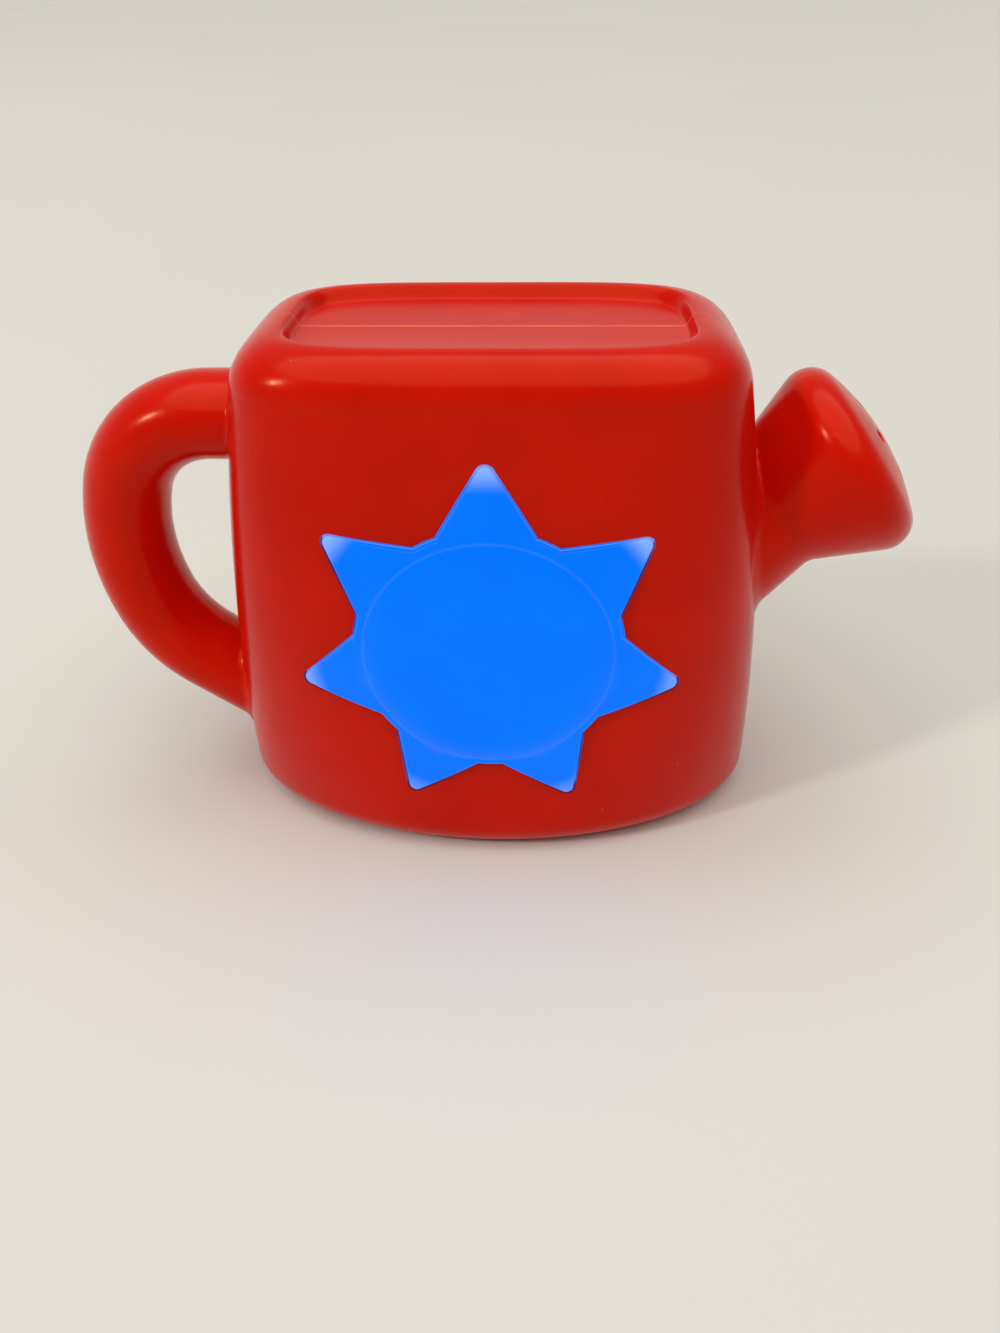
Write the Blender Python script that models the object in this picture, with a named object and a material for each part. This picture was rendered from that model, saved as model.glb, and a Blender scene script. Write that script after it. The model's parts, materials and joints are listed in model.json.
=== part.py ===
"""Toy watering can with a light-up star button.

Two moulded shells meet on the middle plane (y = 0) and carry the handle, neck and rose.
The front shell holds the star button, its carrier and the circuit board.
The rear shell holds the speaker, the power switch and the battery pocket with its door.
Metres, +X towards the rose, +Y towards the back, +Z up.
Parts are drawn about the middle of the can, then moved to put the origin under the middle of the toy.
"""

import math

import bmesh
import bpy
from mathutils import Matrix, Vector

# Can body: superellipse sections from an oval base to a squarer top
CAN_HEIGHT = 0.0877
BASE_HALF_WIDTH = 0.0476
MIDDLE_HALF_WIDTH = 0.0445
TOP_HALF_WIDTH = 0.0374
BASE_HALF_DEPTH = 0.0268
TOP_HALF_DEPTH = 0.0235
BASE_SQUARENESS = 1.93
TOP_SQUARENESS = 4.47
TOP_EDGE_RADIUS = 0.0065
BASE_EDGE_RADIUS = 0.006
RECESS_DEPTH = 0.002
RECESS_SLOPE = 0.0022
WALL = 0.002
SEAM_GAP = 0.0003
CLEARANCE = 0.0003

# Handle: an oval tube along three arcs on the middle plane
HANDLE_TOP_Z = 0.0717
HANDLE_REACH = 0.0639
HANDLE_SHOULDER_RADIUS = 0.0172
HANDLE_BACK_RADIUS = 0.0369
HANDLE_BACK_SWEEP = math.radians(35.5)
HANDLE_FOOT_RADIUS = 0.0227
HANDLE_FOOT_SWEEP = math.radians(36.3)
HANDLE_HALF_WIDTH = 0.007
HANDLE_HALF_DEPTH = 0.0086
HANDLE_ROOT = 0.010
HANDLE_FOOT_RUN = 0.020

# Neck and rose: turned about a rising axis on the middle plane
ROSE_TILT = math.radians(35.9)
ROSE_X = 0.0610
ROSE_Z = 0.0671
ROSE_RADIUS = 0.0163
ROSE_EDGE_RADIUS = 0.0047
ROSE_LENGTH = 0.0175
ROSE_DOME = 0.0019
WAIST_RADIUS = 0.0114
NECK_SLOPE = 0.218
NECK_LENGTH = 0.0225
DIMPLE_RADIUS = 0.0012
DIMPLE_DEPTH = 0.0010
DIMPLE_CIRCLE = 0.0070
DIMPLE_COUNT = 6

# Star button
STAR_DROP = 0.00165
STAR_RAYS = 7
STAR_TIP_RADIUS = 0.031
STAR_DISC_RADIUS = 0.0211
STAR_RAY_ANGLE = math.radians(20.3)
STAR_TIP_ROUND = 0.0011
STAR_CROWN_RADIUS = 0.0203
STAR_CROWN = 0.0014
STAR_TIP_RISE = 0.0003
STAR_EDGE = 0.0003
STAR_SKIN = 0.0020
STAR_FLANGE_WIDTH = 0.0015
STAR_FLANGE = 0.0014
STAR_FLANGE_GAP = 0.0005
STAR_TRAVEL = 0.0018
STAR_GAP = 0.0004

# Button carrier, guides and return springs
CARRIER_GAP = 0.0008
CARRIER_THICKNESS = 0.0018
CARRIER_DISC_RADIUS = 0.0200
LUG_RADIUS = 0.0038
LUG_CIRCLE = 0.0300
GUIDE_COUNT = 3
GUIDE_CIRCLE = 0.0140
GUIDE_POST_RADIUS = 0.0019
GUIDE_WALL = 0.0011
GUIDE_LENGTH = 0.0038
GUIDE_ENGAGED = 0.0028
SPRING_WIRE = 0.00035
SPRING_TURNS = 4
PUSHER_RADIUS = 0.0025

# Circuit board and what is soldered on it
BOARD_HALF_WIDTH = 0.0205
BOARD_HALF_HEIGHT = 0.0150
BOARD_THICKNESS = 0.0016
BOARD_STANDOFF = 0.0010
BOARD_SCREW_X = 0.0172
BOARD_SCREW_DROP = 0.0028
DOME_RADIUS = 0.0055
DOME_HEIGHT = 0.0047
DOME_TOP_RADIUS = 0.0030
DOME_SKIN = 0.0009
LED_RADIUS = 0.0025
LED_HEIGHT = 0.0080
LED_FLANGE_RADIUS = 0.0029
LED_FLANGE = 0.0010
LED_COUNT = 3
LED_CIRCLE = 0.0130
CHIP_RADIUS = 0.0045
CHIP_HEIGHT = 0.0016
CHIP_X = -0.0060
CHIP_RISE = 0.0080
CAPACITOR_RADIUS = 0.0025
CAPACITOR_HEIGHT = 0.0060
CAPACITOR_X = 0.0090
CAPACITOR_RISE = -0.0100

# Shell screws and their bosses
SCREW_HEAD_RADIUS = 0.0024
SCREW_HEAD = 0.0016
SCREW_SHANK_RADIUS = 0.0010
SCREW_LENGTH = 0.0098
SCREW_SEAT_Y = 0.0040
UPPER_SCREW_X = 0.0270
UPPER_SCREW_DROP = 0.0127
LOWER_SCREW_X = 0.0330
LOWER_SCREW_Z = 0.0120
HANDLE_SCREW_Z = 0.0480
ROSE_SCREW_SETBACK = 0.0080
BOSS_WALL = 0.0014
SMALL_SCREW_HEAD_RADIUS = 0.0019
SMALL_SCREW_HEAD = 0.0011
SMALL_SCREW_SHANK_RADIUS = 0.0008
SMALL_SCREW_LENGTH = 0.0048
SHORT_SCREW_LENGTH = 0.0035

# Batteries, pocket, contacts and door
BATTERY_RADIUS = 0.00525
BATTERY_LENGTH = 0.0445
BATTERY_NUB_RADIUS = 0.0019
BATTERY_NUB = 0.0010
BATTERY_PITCH = 0.0111
BATTERY_DOOR_GAP = 0.0005
LOWER_BATTERY_Z = 0.0175
BATTERY_SPRING_LENGTH = 0.0040
BATTERY_SPRING_TURNS = 3
BATTERY_SPRING_WIRE = 0.0003
BATTERY_SPRING_WIDE = 0.0036
BATTERY_SPRING_NARROW = 0.0020
CONTACT_THICKNESS = 0.0005
CONTACT_HALF_HEIGHT = 0.0040
CONTACT_TAIL = 0.0025
POCKET_WALL = 0.0017
DOOR_MARGIN = 0.0016
DOOR_TOP_MARGIN = 0.0062
DOOR_CORNER = 0.0030
LEDGE_WIDTH = 0.0018
LEDGE_THICKNESS = 0.0016
DOOR_SCREW_RISE = 0.0032
DOOR_HEAD_SINK = 0.0012
DOOR_RIB_X = 0.0100
DOOR_RIB_THICKNESS = 0.0014
DOOR_RIB_END_GAP = 0.0010

# Speaker, its seat, clamp and grille
SPEAKER_RADIUS = 0.0140
SPEAKER_DEPTH = 0.0053
SPEAKER_RIM = 0.0010
SPEAKER_BACK_RADIUS = 0.0090
SPEAKER_SHEET = 0.0008
SPEAKER_SEAT_WALL = 0.0034
SPEAKER_SEAT_HEIGHT = 0.0012
SPEAKER_SEAT_LIP = 0.0016
CONE_SHEET = 0.0005
CONE_CAP_RADIUS = 0.0035
MAGNET_RADIUS = 0.0065
MAGNET_HEIGHT = 0.0035
CLAMP_THICKNESS = 0.0018
CLAMP_LAP = 0.0010
CLAMP_EAR_RADIUS = 0.0030
CLAMP_EAR_X = 0.0186
GRILLE_HOLE_RADIUS = 0.0010
GRILLE_PITCH = 0.0040
GRILLE_RINGS = 2

# Power switch
SWITCH_X = -0.0270
SWITCH_TRAVEL = 0.0030
SWITCH_HALF_WIDTH = 0.0030
SWITCH_DEPTH = 0.0050
SWITCH_PLATE = 0.0008
KNOB_HALF_WIDTH = 0.0018
KNOB_HALF_HEIGHT = 0.0020
KNOB_PROUD = 0.0011
KNOB_FLANGE = 0.0008
KNOB_FLANGE_MARGIN = 0.0012
KNOB_GAP = 0.0004

# Wires
WIRE_RADIUS = 0.0006
WIRE_SAG = 0.0025
WIRE_STEPS = 2

# Facets
CAN_SIDES = 40
CAN_LEVELS = 5
CAVITY_SIDES = 32
CAVITY_LEVELS = 4
HANDLE_SIDES = 14
HANDLE_CAVITY_SIDES = 10
ROSE_SIDES = 26
ROSE_CAVITY_SIDES = 14
ROUND_SIDES = 18
BOSS_SIDES = 9
HOLE_SIDES = 8
SCREW_SIDES = 7
GRILLE_SIDES = 6
CELL_SIDES = 12
EDGE_STEPS = 3
REACH_PAST = 0.040
SLIVER = 0.000002

# Places that follow from the sizes above
STAR_Z = CAN_HEIGHT / 2 - STAR_DROP
UPPER_SCREW_Z = CAN_HEIGHT - UPPER_SCREW_DROP
PILOT_END = SCREW_SEAT_Y - SCREW_LENGTH - WALL / 2
SCREW_BORE = SCREW_SHANK_RADIUS + CLEARANCE
SMALL_BORE = SMALL_SCREW_SHANK_RADIUS + CLEARANCE
HEAD_BORE = SCREW_HEAD_RADIUS + 2 * CLEARANCE
SCREW_BOSS = HEAD_BORE + BOSS_WALL
PILOT_BOSS = SCREW_BORE + BOSS_WALL
SMALL_BOSS = SMALL_BORE + BOSS_WALL
UPPER_BATTERY_Z = LOWER_BATTERY_Z + BATTERY_PITCH
POCKET_HALF_LENGTH = (BATTERY_LENGTH + BATTERY_SPRING_LENGTH) / 2 + CONTACT_THICKNESS + 2 * CLEARANCE
POCKET_LOW = LOWER_BATTERY_Z - BATTERY_RADIUS - CLEARANCE
POCKET_HIGH = UPPER_BATTERY_Z + BATTERY_RADIUS + CLEARANCE
DOOR_HALF_WIDTH = POCKET_HALF_LENGTH + DOOR_MARGIN
DOOR_LOW = POCKET_LOW - DOOR_MARGIN
DOOR_HIGH = POCKET_HIGH + DOOR_TOP_MARGIN
DOOR_SCREW_Z = POCKET_HIGH + DOOR_SCREW_RISE
SPEAKER_SEAT_RADIUS = SPEAKER_RADIUS + SPEAKER_SEAT_LIP
SPEAKER_Z = (DOOR_HIGH + LEDGE_WIDTH + CAN_HEIGHT - RECESS_DEPTH - WALL) / 2
SWITCH_Z = (DOOR_HIGH + LEDGE_WIDTH + UPPER_SCREW_Z - SCREW_BOSS) / 2
SWITCH_SCREW_OFFSET = KNOB_HALF_HEIGHT + SWITCH_TRAVEL + SMALL_BOSS + CLEARANCE
SWITCH_HALF_HEIGHT = SWITCH_SCREW_OFFSET - SMALL_SCREW_HEAD_RADIUS - CLEARANCE


def section_sizes(height, inset):
    """Half width, half depth and squareness of the can at a height, drawn in by an inset."""
    rise = height / CAN_HEIGHT
    width = BASE_HALF_WIDTH * (1 - rise) * (1 - 2 * rise)
    width += MIDDLE_HALF_WIDTH * 4 * rise * (1 - rise)
    width += TOP_HALF_WIDTH * rise * (2 * rise - 1)
    depth = BASE_HALF_DEPTH + (TOP_HALF_DEPTH - BASE_HALF_DEPTH) * rise
    squareness = BASE_SQUARENESS + (TOP_SQUARENESS - BASE_SQUARENESS) * rise
    return width - inset, depth - inset, squareness


def wall_depth(x, height, inset):
    """Distance from the middle plane to the can's wall, measured along Y."""
    width, depth, squareness = section_sizes(height, inset)
    share = min(abs(x) / width, 1.0) ** squareness
    return depth * (1 - share) ** (1 / squareness)


def can_ring(height, inset, sides):
    """Points round the can at one height."""
    width, depth, squareness = section_sizes(height, inset)
    points = []
    for index in range(sides):
        turn = 2 * math.pi * (index + 0.5) / sides
        across = math.cos(turn)
        along = math.sin(turn)
        reach = (abs(across) ** squareness + abs(along) ** squareness) ** (-1 / squareness)
        points.append(Vector((width * across * reach, depth * along * reach, height)))
    return points


def circle(centre_x, centre_z, radius, sides):
    """Points (x, z) of a circle, half a step off its axes."""
    turns = [2 * math.pi * (index + 0.5) / sides for index in range(sides)]
    return [(centre_x + radius * math.cos(turn), centre_z + radius * math.sin(turn)) for turn in turns]


def rounded_rectangle(low_x, high_x, low_z, high_z, corner, steps=3):
    """Points (x, z) of a rectangle with round corners, counter-clockwise."""
    centres = [
        (high_x - corner, high_z - corner, 0),
        (low_x + corner, high_z - corner, 1),
        (low_x + corner, low_z + corner, 2),
        (high_x - corner, low_z + corner, 3),
    ]
    points = []
    for centre_x, centre_z, quarter in centres:
        for step in range(steps + 1):
            turn = (quarter + step / steps) * math.pi / 2
            points.append((centre_x + corner * math.cos(turn), centre_z + corner * math.sin(turn)))
    return points


def hull(points):
    """Convex outline round a set of points (x, z), counter-clockwise."""
    ordered = sorted(set(points))
    halves = []
    for run in (ordered, ordered[::-1]):
        chain = []
        for point in run:
            while len(chain) > 1 and turn_of(chain[-2], chain[-1], point) <= 0:
                chain.pop()
            chain.append(point)
        halves += chain[:-1]
    return halves


def turn_of(first, second, third):
    """Positive where three points (x, z) turn left."""
    run = (second[0] - first[0]) * (third[1] - first[1])
    return run - (second[1] - first[1]) * (third[0] - first[0])


def grow(outline, distance):
    """Moves each edge of an outline (x, z) outwards, with mitred corners."""
    moved = []
    count = len(outline)
    for index in range(count):
        here = Vector(outline[index])
        before = (here - Vector(outline[index - 1])).normalized()
        after = (Vector(outline[(index + 1) % count]) - here).normalized()
        first = Vector((before.y, -before.x))
        second = Vector((after.y, -after.x))
        mitre = (first + second).normalized()
        moved.append(tuple(here + mitre * (distance / mitre.dot(first))))
    return moved


def is_bent(face):
    """Whether a face of four corners isn't flat."""
    if len(face.verts) != 4:
        return False
    first, second, third, fourth = [vertex.co for vertex in face.verts]
    across = (second - first).cross(third - first)
    return abs((fourth - first).dot(across.normalized())) > 1e-8


def new_object(name, vertices, faces):
    """A closed mesh object with its faces pointing out."""
    mesh = bpy.data.meshes.new(name)
    shape = bmesh.new()
    points = [shape.verts.new(vertex) for vertex in vertices]
    for face in faces:
        shape.faces.new([points[index] for index in face])
    bmesh.ops.triangulate(shape, faces=[face for face in shape.faces if is_bent(face)])
    bmesh.ops.recalc_face_normals(shape, faces=shape.faces)
    shape.to_mesh(mesh)
    shape.free()
    body = bpy.data.objects.new(name, mesh)
    bpy.context.scene.collection.objects.link(body)
    return body


def skin(name, rings, closed=False):
    """Skins rings of points; a ring of one point is a pole, and end rings are capped."""
    vertices = []
    starts = []
    for ring in rings:
        starts.append(len(vertices))
        vertices += ring
    faces = []
    pairs = list(zip(range(len(rings) - 1), range(1, len(rings))))
    if closed:
        pairs.append((len(rings) - 1, 0))
    for low, high in pairs:
        count = max(len(rings[low]), len(rings[high]))
        for index in range(count):
            following = (index + 1) % count
            corners = []
            for ring, places in ((low, (index, following)), (high, (following, index))):
                if len(rings[ring]) == 1:
                    corners.append(starts[ring])
                else:
                    corners += [starts[ring] + place for place in places]
            faces.append(corners)
    if not closed:
        for ring in (0, len(rings) - 1):
            if len(rings[ring]) > 1:
                faces.append([starts[ring] + index for index in range(len(rings[ring]))])
    return new_object(name, vertices, faces)


def turned(name, profile, sides, place=Matrix(), closed=False):
    """Turns a profile of (along, radius) about +Y; a radius of 0 is a pole."""
    rings = []
    for along, radius in profile:
        if radius == 0:
            rings.append([place @ Vector((0, along, 0))])
        else:
            rings.append([place @ Vector((x, along, z)) for x, z in circle(0, 0, radius, sides)])
    return skin(name, rings, closed)


def post(name, x, z, radius, start, end, sides=BOSS_SIDES):
    """A round bar along Y."""
    return prism(name, circle(x, z, radius, sides), start, end)


def prism(name, outline, start, end):
    """An outline (x, z) extruded along Y."""
    return skin(name, [[Vector((x, y, z)) for x, z in outline] for y in (start, end)])


def block(name, low, high):
    """A box between two corners."""
    corners = [(low[0], low[2]), (high[0], low[2]), (high[0], high[2]), (low[0], high[2])]
    return prism(name, corners, low[1], high[1])


def bake(body):
    """Turns a body's modifiers into plain mesh without needle-thin slivers."""
    graph = bpy.context.evaluated_depsgraph_get()
    mesh = bpy.data.meshes.new_from_object(body.evaluated_get(graph))
    shape = bmesh.new()
    shape.from_mesh(mesh)
    bmesh.ops.remove_doubles(shape, verts=shape.verts, dist=SLIVER)
    bmesh.ops.dissolve_degenerate(shape, edges=shape.edges, dist=SLIVER)
    shape.to_mesh(mesh)
    shape.free()
    body.modifiers.clear()
    body.data = mesh


def combine(body, tools, operation):
    """Applies Booleans to a body, one for each tool, and removes the tools."""
    for tool in tools:
        step = body.modifiers.new(operation, "BOOLEAN")
        step.operation = operation
        step.solver = "EXACT"
        step.object = tool
        bake(body)
        bpy.data.objects.remove(tool)
    return body


def join(body, *tools):
    """Adds tools to a body."""
    return combine(body, tools, "UNION")


def cut(body, *tools):
    """Takes tools out of a body."""
    return combine(body, tools, "DIFFERENCE")


def trim(body, *tools):
    """Keeps what a body shares with each tool."""
    return combine(body, tools, "INTERSECT")


def copy_of(body, name):
    """A copy of a body with a mesh of its own."""
    twin = bpy.data.objects.new(name, body.data.copy())
    bpy.context.scene.collection.objects.link(twin)
    return twin


def bunch(bodies):
    """Puts bodies that don't touch into one tool."""
    shape = bmesh.new()
    for body in bodies:
        shape.from_mesh(body.data)
    for body in bodies[1:]:
        bpy.data.objects.remove(body)
    shape.to_mesh(bodies[0].data)
    shape.free()
    return bodies[0]


def quarter_turns():
    """Angles of a rounded edge, from its start to its end."""
    return [math.pi / 2 * step / EDGE_STEPS for step in range(EDGE_STEPS + 1)]


def can_body(name, inset, sides):
    """The can without handle and rose; an inset body lies inside it by that much all round."""
    base = inset
    top = CAN_HEIGHT if inset == 0 else CAN_HEIGHT - RECESS_DEPTH - inset
    levels = CAN_LEVELS if inset == 0 else CAVITY_LEVELS
    base_edge = BASE_EDGE_RADIUS - inset
    top_edge = TOP_EDGE_RADIUS - inset
    stations = []
    for turn in quarter_turns():
        stations.append((base + base_edge * (1 - math.cos(turn)), inset + base_edge * (1 - math.sin(turn))))
    low = base + base_edge
    high = top - top_edge
    stations += [(low + (high - low) * level / levels, inset) for level in range(1, levels)]
    for turn in quarter_turns():
        stations.append((high + top_edge * math.sin(turn), inset + top_edge * (1 - math.cos(turn))))
    if inset == 0:
        for share in (0.35, 0.75, 1.0):
            drop = RECESS_DEPTH * (1 - math.cos(math.pi * share)) / 2
            stations.append((top - drop, TOP_EDGE_RADIUS + RECESS_SLOPE * share))
    return skin(name, [can_ring(height, edge, sides) for height, edge in stations])


def handle_line(steps=5):
    """Middle line of the handle: points (x, z) with their headings, from the top root to the foot."""
    bends = [
        (HANDLE_SHOULDER_RADIUS, math.pi / 2 - HANDLE_BACK_SWEEP / 2),
        (HANDLE_BACK_RADIUS, HANDLE_BACK_SWEEP),
        (HANDLE_FOOT_RADIUS, HANDLE_FOOT_SWEEP),
    ]
    heading = math.pi
    spot = Vector((0, HANDLE_TOP_Z))
    line = [(spot.copy(), heading)]
    for radius, sweep in bends:
        part = sweep / steps
        for _ in range(steps):
            chord = 2 * radius * math.sin(part / 2)
            spot += chord * Vector((math.cos(heading + part / 2), math.sin(heading + part / 2)))
            heading += part
            line.append((spot.copy(), heading))
    shift = -HANDLE_REACH - min(point.x for point, _ in line)
    line = [(point + Vector((shift, 0)), turn) for point, turn in line]
    root = HANDLE_ROOT - section_sizes(HANDLE_TOP_Z, 0)[0]
    foot = line[-1][0] + HANDLE_FOOT_RUN * Vector((math.cos(heading), math.sin(heading)))
    return [(Vector((root, HANDLE_TOP_Z)), math.pi)] + line + [(foot, heading)]


def handle_tube(name, inset, sides):
    """The handle as an oval tube, drawn in by an inset."""
    rings = []
    for point, heading in handle_line():
        ring = []
        for across, depth in circle(0, 0, 1, sides):
            side = across * (HANDLE_HALF_WIDTH - inset)
            x = point.x - side * math.sin(heading)
            z = point.y + side * math.cos(heading)
            ring.append(Vector((x, depth * (HANDLE_HALF_DEPTH - inset), z)))
        rings.append(ring)
    return skin(name, rings)


def rose_point(along):
    """Point (x, z) on the rose's axis."""
    return ROSE_X + along * math.cos(ROSE_TILT), ROSE_Z + along * math.sin(ROSE_TILT)


def rose_body(name, inset, sides):
    """Neck and rose, drawn in by an inset."""
    neck_end = -ROSE_LENGTH - NECK_LENGTH
    profile = [
        (neck_end, 0),
        (neck_end, WAIST_RADIUS + NECK_SLOPE * NECK_LENGTH - inset),
        (-ROSE_LENGTH, WAIST_RADIUS - inset),
    ]
    edge = ROSE_EDGE_RADIUS - inset
    for degrees in (-15, 10, 35, 60, 85):
        turn = math.radians(degrees)
        along = -ROSE_EDGE_RADIUS + edge * math.sin(turn)
        profile.append((along, ROSE_RADIUS - ROSE_EDGE_RADIUS + edge * math.cos(turn)))
    profile.append((0.8 * ROSE_DOME - inset, (ROSE_RADIUS - ROSE_EDGE_RADIUS) / 2))
    profile.append((ROSE_DOME - inset, 0))
    return turned(name, profile, sides, axis_frame())


def axis_frame():
    """Matrix that lays a part turned about +Y along the rose's axis."""
    along = Vector((math.cos(ROSE_TILT), 0, math.sin(ROSE_TILT)))
    up = Vector((-math.sin(ROSE_TILT), 0, math.cos(ROSE_TILT)))
    side = along.cross(up)
    frame = Matrix((side, along, up)).transposed().to_4x4()
    frame.translation = (ROSE_X, 0, ROSE_Z)
    return frame


def can_form(name, inset, can_sides, handle_sides, rose_sides):
    """Can, handle and rose joined into one solid."""
    body = can_body(name, inset, can_sides)
    return join(body, handle_tube("handle", inset, handle_sides), rose_body("rose", inset, rose_sides))


def rose_dimples():
    """Blind sprinkler dimples on the face of the rose."""
    dimples = []
    for up, side in [(0, 0)] + circle(0, 0, DIMPLE_CIRCLE, DIMPLE_COUNT):
        spot = Vector((side, 0, up))
        share = spot.length / (ROSE_RADIUS - ROSE_EDGE_RADIUS)
        face = ROSE_DOME * (1 - share * share)
        place = axis_frame() @ Matrix.Translation(spot)
        profile = [(face - DIMPLE_DEPTH, 0), (face - DIMPLE_DEPTH, DIMPLE_RADIUS * 0.6)]
        profile += [(face + DIMPLE_DEPTH, DIMPLE_RADIUS * 1.4), (face + DIMPLE_DEPTH, 0)]
        dimples.append(turned("dimple", profile, SCREW_SIDES, place))
    return bunch(dimples)


def shell_screw_places():
    """Places (x, z) of the screws that hold the shells together."""
    nearest = min(handle_line(), key=lambda station: abs(station[0].y - HANDLE_SCREW_Z))
    return [
        (-UPPER_SCREW_X, UPPER_SCREW_Z),
        (UPPER_SCREW_X, UPPER_SCREW_Z),
        (-LOWER_SCREW_X, LOWER_SCREW_Z),
        (LOWER_SCREW_X, LOWER_SCREW_Z),
        (nearest[0].x, nearest[0].y),
        rose_point(-ROSE_SCREW_SETBACK),
    ]


def star_outline():
    """Outline (x, z) of the star about its middle, counter-clockwise from the top ray."""
    base = Vector((STAR_DISC_RADIUS * math.cos(STAR_RAY_ANGLE), STAR_DISC_RADIUS * math.sin(STAR_RAY_ANGLE)))
    slope = math.atan2(base.y, STAR_TIP_RADIUS - base.x)
    tip_centre = STAR_TIP_RADIUS - STAR_TIP_ROUND
    flank = math.pi / 2 - slope
    points = []
    for ray in range(STAR_RAYS):
        middle = math.pi / 2 + 2 * math.pi * ray / STAR_RAYS
        local = [(STAR_DISC_RADIUS, -STAR_RAY_ANGLE)]
        for share in (-1, 0, 1):
            corner = Vector((tip_centre + STAR_TIP_ROUND * math.cos(share * flank),
                             STAR_TIP_ROUND * math.sin(share * flank)))
            local.append((corner.length, math.atan2(corner.y, corner.x)))
        local.append((STAR_DISC_RADIUS, STAR_RAY_ANGLE))
        local.append((STAR_DISC_RADIUS, math.pi / STAR_RAYS))
        for radius, turn in local:
            points.append((radius * math.cos(middle + turn), radius * math.sin(middle + turn)))
    return points


def star_front_y(x, z):
    """Front face of the star: the can's front, crowned over the disc and sloping along the rays."""
    distance = math.hypot(x, z)
    share = (distance - STAR_CROWN_RADIUS) / (STAR_TIP_RADIUS - STAR_CROWN_RADIUS)
    rise = STAR_CROWN + (STAR_TIP_RISE - STAR_CROWN) * min(max(share, 0), 1)
    return -wall_depth(x, STAR_Z + z, 0) - rise


def star_inner_y(x, z):
    """Where the star's flange begins, just behind the front wall."""
    return STAR_FLANGE_GAP - wall_depth(x, STAR_Z + z, WALL)


def star_ring(outline, depth_of, shift=0.0):
    """Points over an outline at the depth that a function gives."""
    return [Vector((x, depth_of(x, z) + shift, STAR_Z + z)) for x, z in outline]


def scaled_to(outline, radius):
    """Points at one radius, in the directions of an outline's points."""
    return [(x * radius / math.hypot(x, z), z * radius / math.hypot(x, z)) for x, z in outline]


def flange_back():
    """Depth of the rearmost point of the star's flange."""
    outer = grow(star_outline(), STAR_FLANGE_WIDTH)
    return max(star_inner_y(x, z) for x, z in outer) + STAR_FLANGE


CARRIER_FRONT = flange_back() + STAR_TRAVEL + CARRIER_GAP
CARRIER_BACK = CARRIER_FRONT + CARRIER_THICKNESS
BOARD_FRONT = CARRIER_BACK + BOARD_STANDOFF + CLEARANCE
BOARD_BACK = BOARD_FRONT + BOARD_THICKNESS
GUIDE_RADIUS = GUIDE_POST_RADIUS + GUIDE_WALL + CLEARANCE
SPRING_RADIUS = GUIDE_RADIUS + SPRING_WIRE + 2 * CLEARANCE
BATTERY_Y = wall_depth(POCKET_HALF_LENGTH, LOWER_BATTERY_Z, WALL) - BATTERY_DOOR_GAP - BATTERY_RADIUS
POCKET_FLOOR = BATTERY_Y - BATTERY_RADIUS - CLEARANCE
SPEAKER_SEAT_Y = wall_depth(0, SPEAKER_Z + SPEAKER_SEAT_RADIUS, WALL) - SPEAKER_SEAT_HEIGHT
SPEAKER_FRONT = SPEAKER_SEAT_Y - CLEARANCE
SPEAKER_BACK = SPEAKER_FRONT - SPEAKER_DEPTH
CLAMP_BACK = SPEAKER_FRONT - SPEAKER_RIM - CLEARANCE
SWITCH_SIDE_DEPTH = wall_depth(abs(SWITCH_X) + SWITCH_HALF_WIDTH, SWITCH_Z, WALL)
KNOB_FLANGE_BACK = SWITCH_SIDE_DEPTH - KNOB_GAP
SWITCH_FRONT = KNOB_FLANGE_BACK - KNOB_FLANGE - KNOB_GAP


def guide_places():
    """Places (x, z) of the star's guide posts."""
    turns = [math.radians(-90) + 2 * math.pi * index / GUIDE_COUNT for index in range(GUIDE_COUNT)]
    return [(GUIDE_CIRCLE * math.cos(turn), STAR_Z + GUIDE_CIRCLE * math.sin(turn)) for turn in turns]


def led_places():
    """Places (x, z) of the lamps behind the star."""
    turns = [math.radians(90) + 2 * math.pi * index / LED_COUNT for index in range(LED_COUNT)]
    return [(LED_CIRCLE * math.cos(turn), STAR_Z + LED_CIRCLE * math.sin(turn)) for turn in turns]


def lug_places():
    """Places (x, z) of the carrier's lugs, in the notches between rays."""
    notches = [0.5, 2.5, STAR_RAYS - 2.5, STAR_RAYS - 0.5]
    turns = [math.pi / 2 + 2 * math.pi * notch / STAR_RAYS for notch in notches]
    return [(LUG_CIRCLE * math.cos(turn), STAR_Z + LUG_CIRCLE * math.sin(turn)) for turn in turns]


def board_screw_places():
    """Places (x, z) of the circuit board's screws."""
    return [(side * BOARD_SCREW_X, STAR_Z - BOARD_SCREW_DROP) for side in (-1, 1)]


def clamp_screw_places():
    """Places (x, z) of the speaker clamp's screws."""
    return [(side * CLAMP_EAR_X, SPEAKER_Z) for side in (-1, 1)]


def switch_screw_places():
    """Places (x, z) of the power switch's screws."""
    return [(SWITCH_X, SWITCH_Z + side * SWITCH_SCREW_OFFSET) for side in (-1, 1)]


def door_outline():
    """Outline (x, z) of the battery door."""
    return rounded_rectangle(-DOOR_HALF_WIDTH, DOOR_HALF_WIDTH, DOOR_LOW, DOOR_HIGH, DOOR_CORNER)


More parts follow.
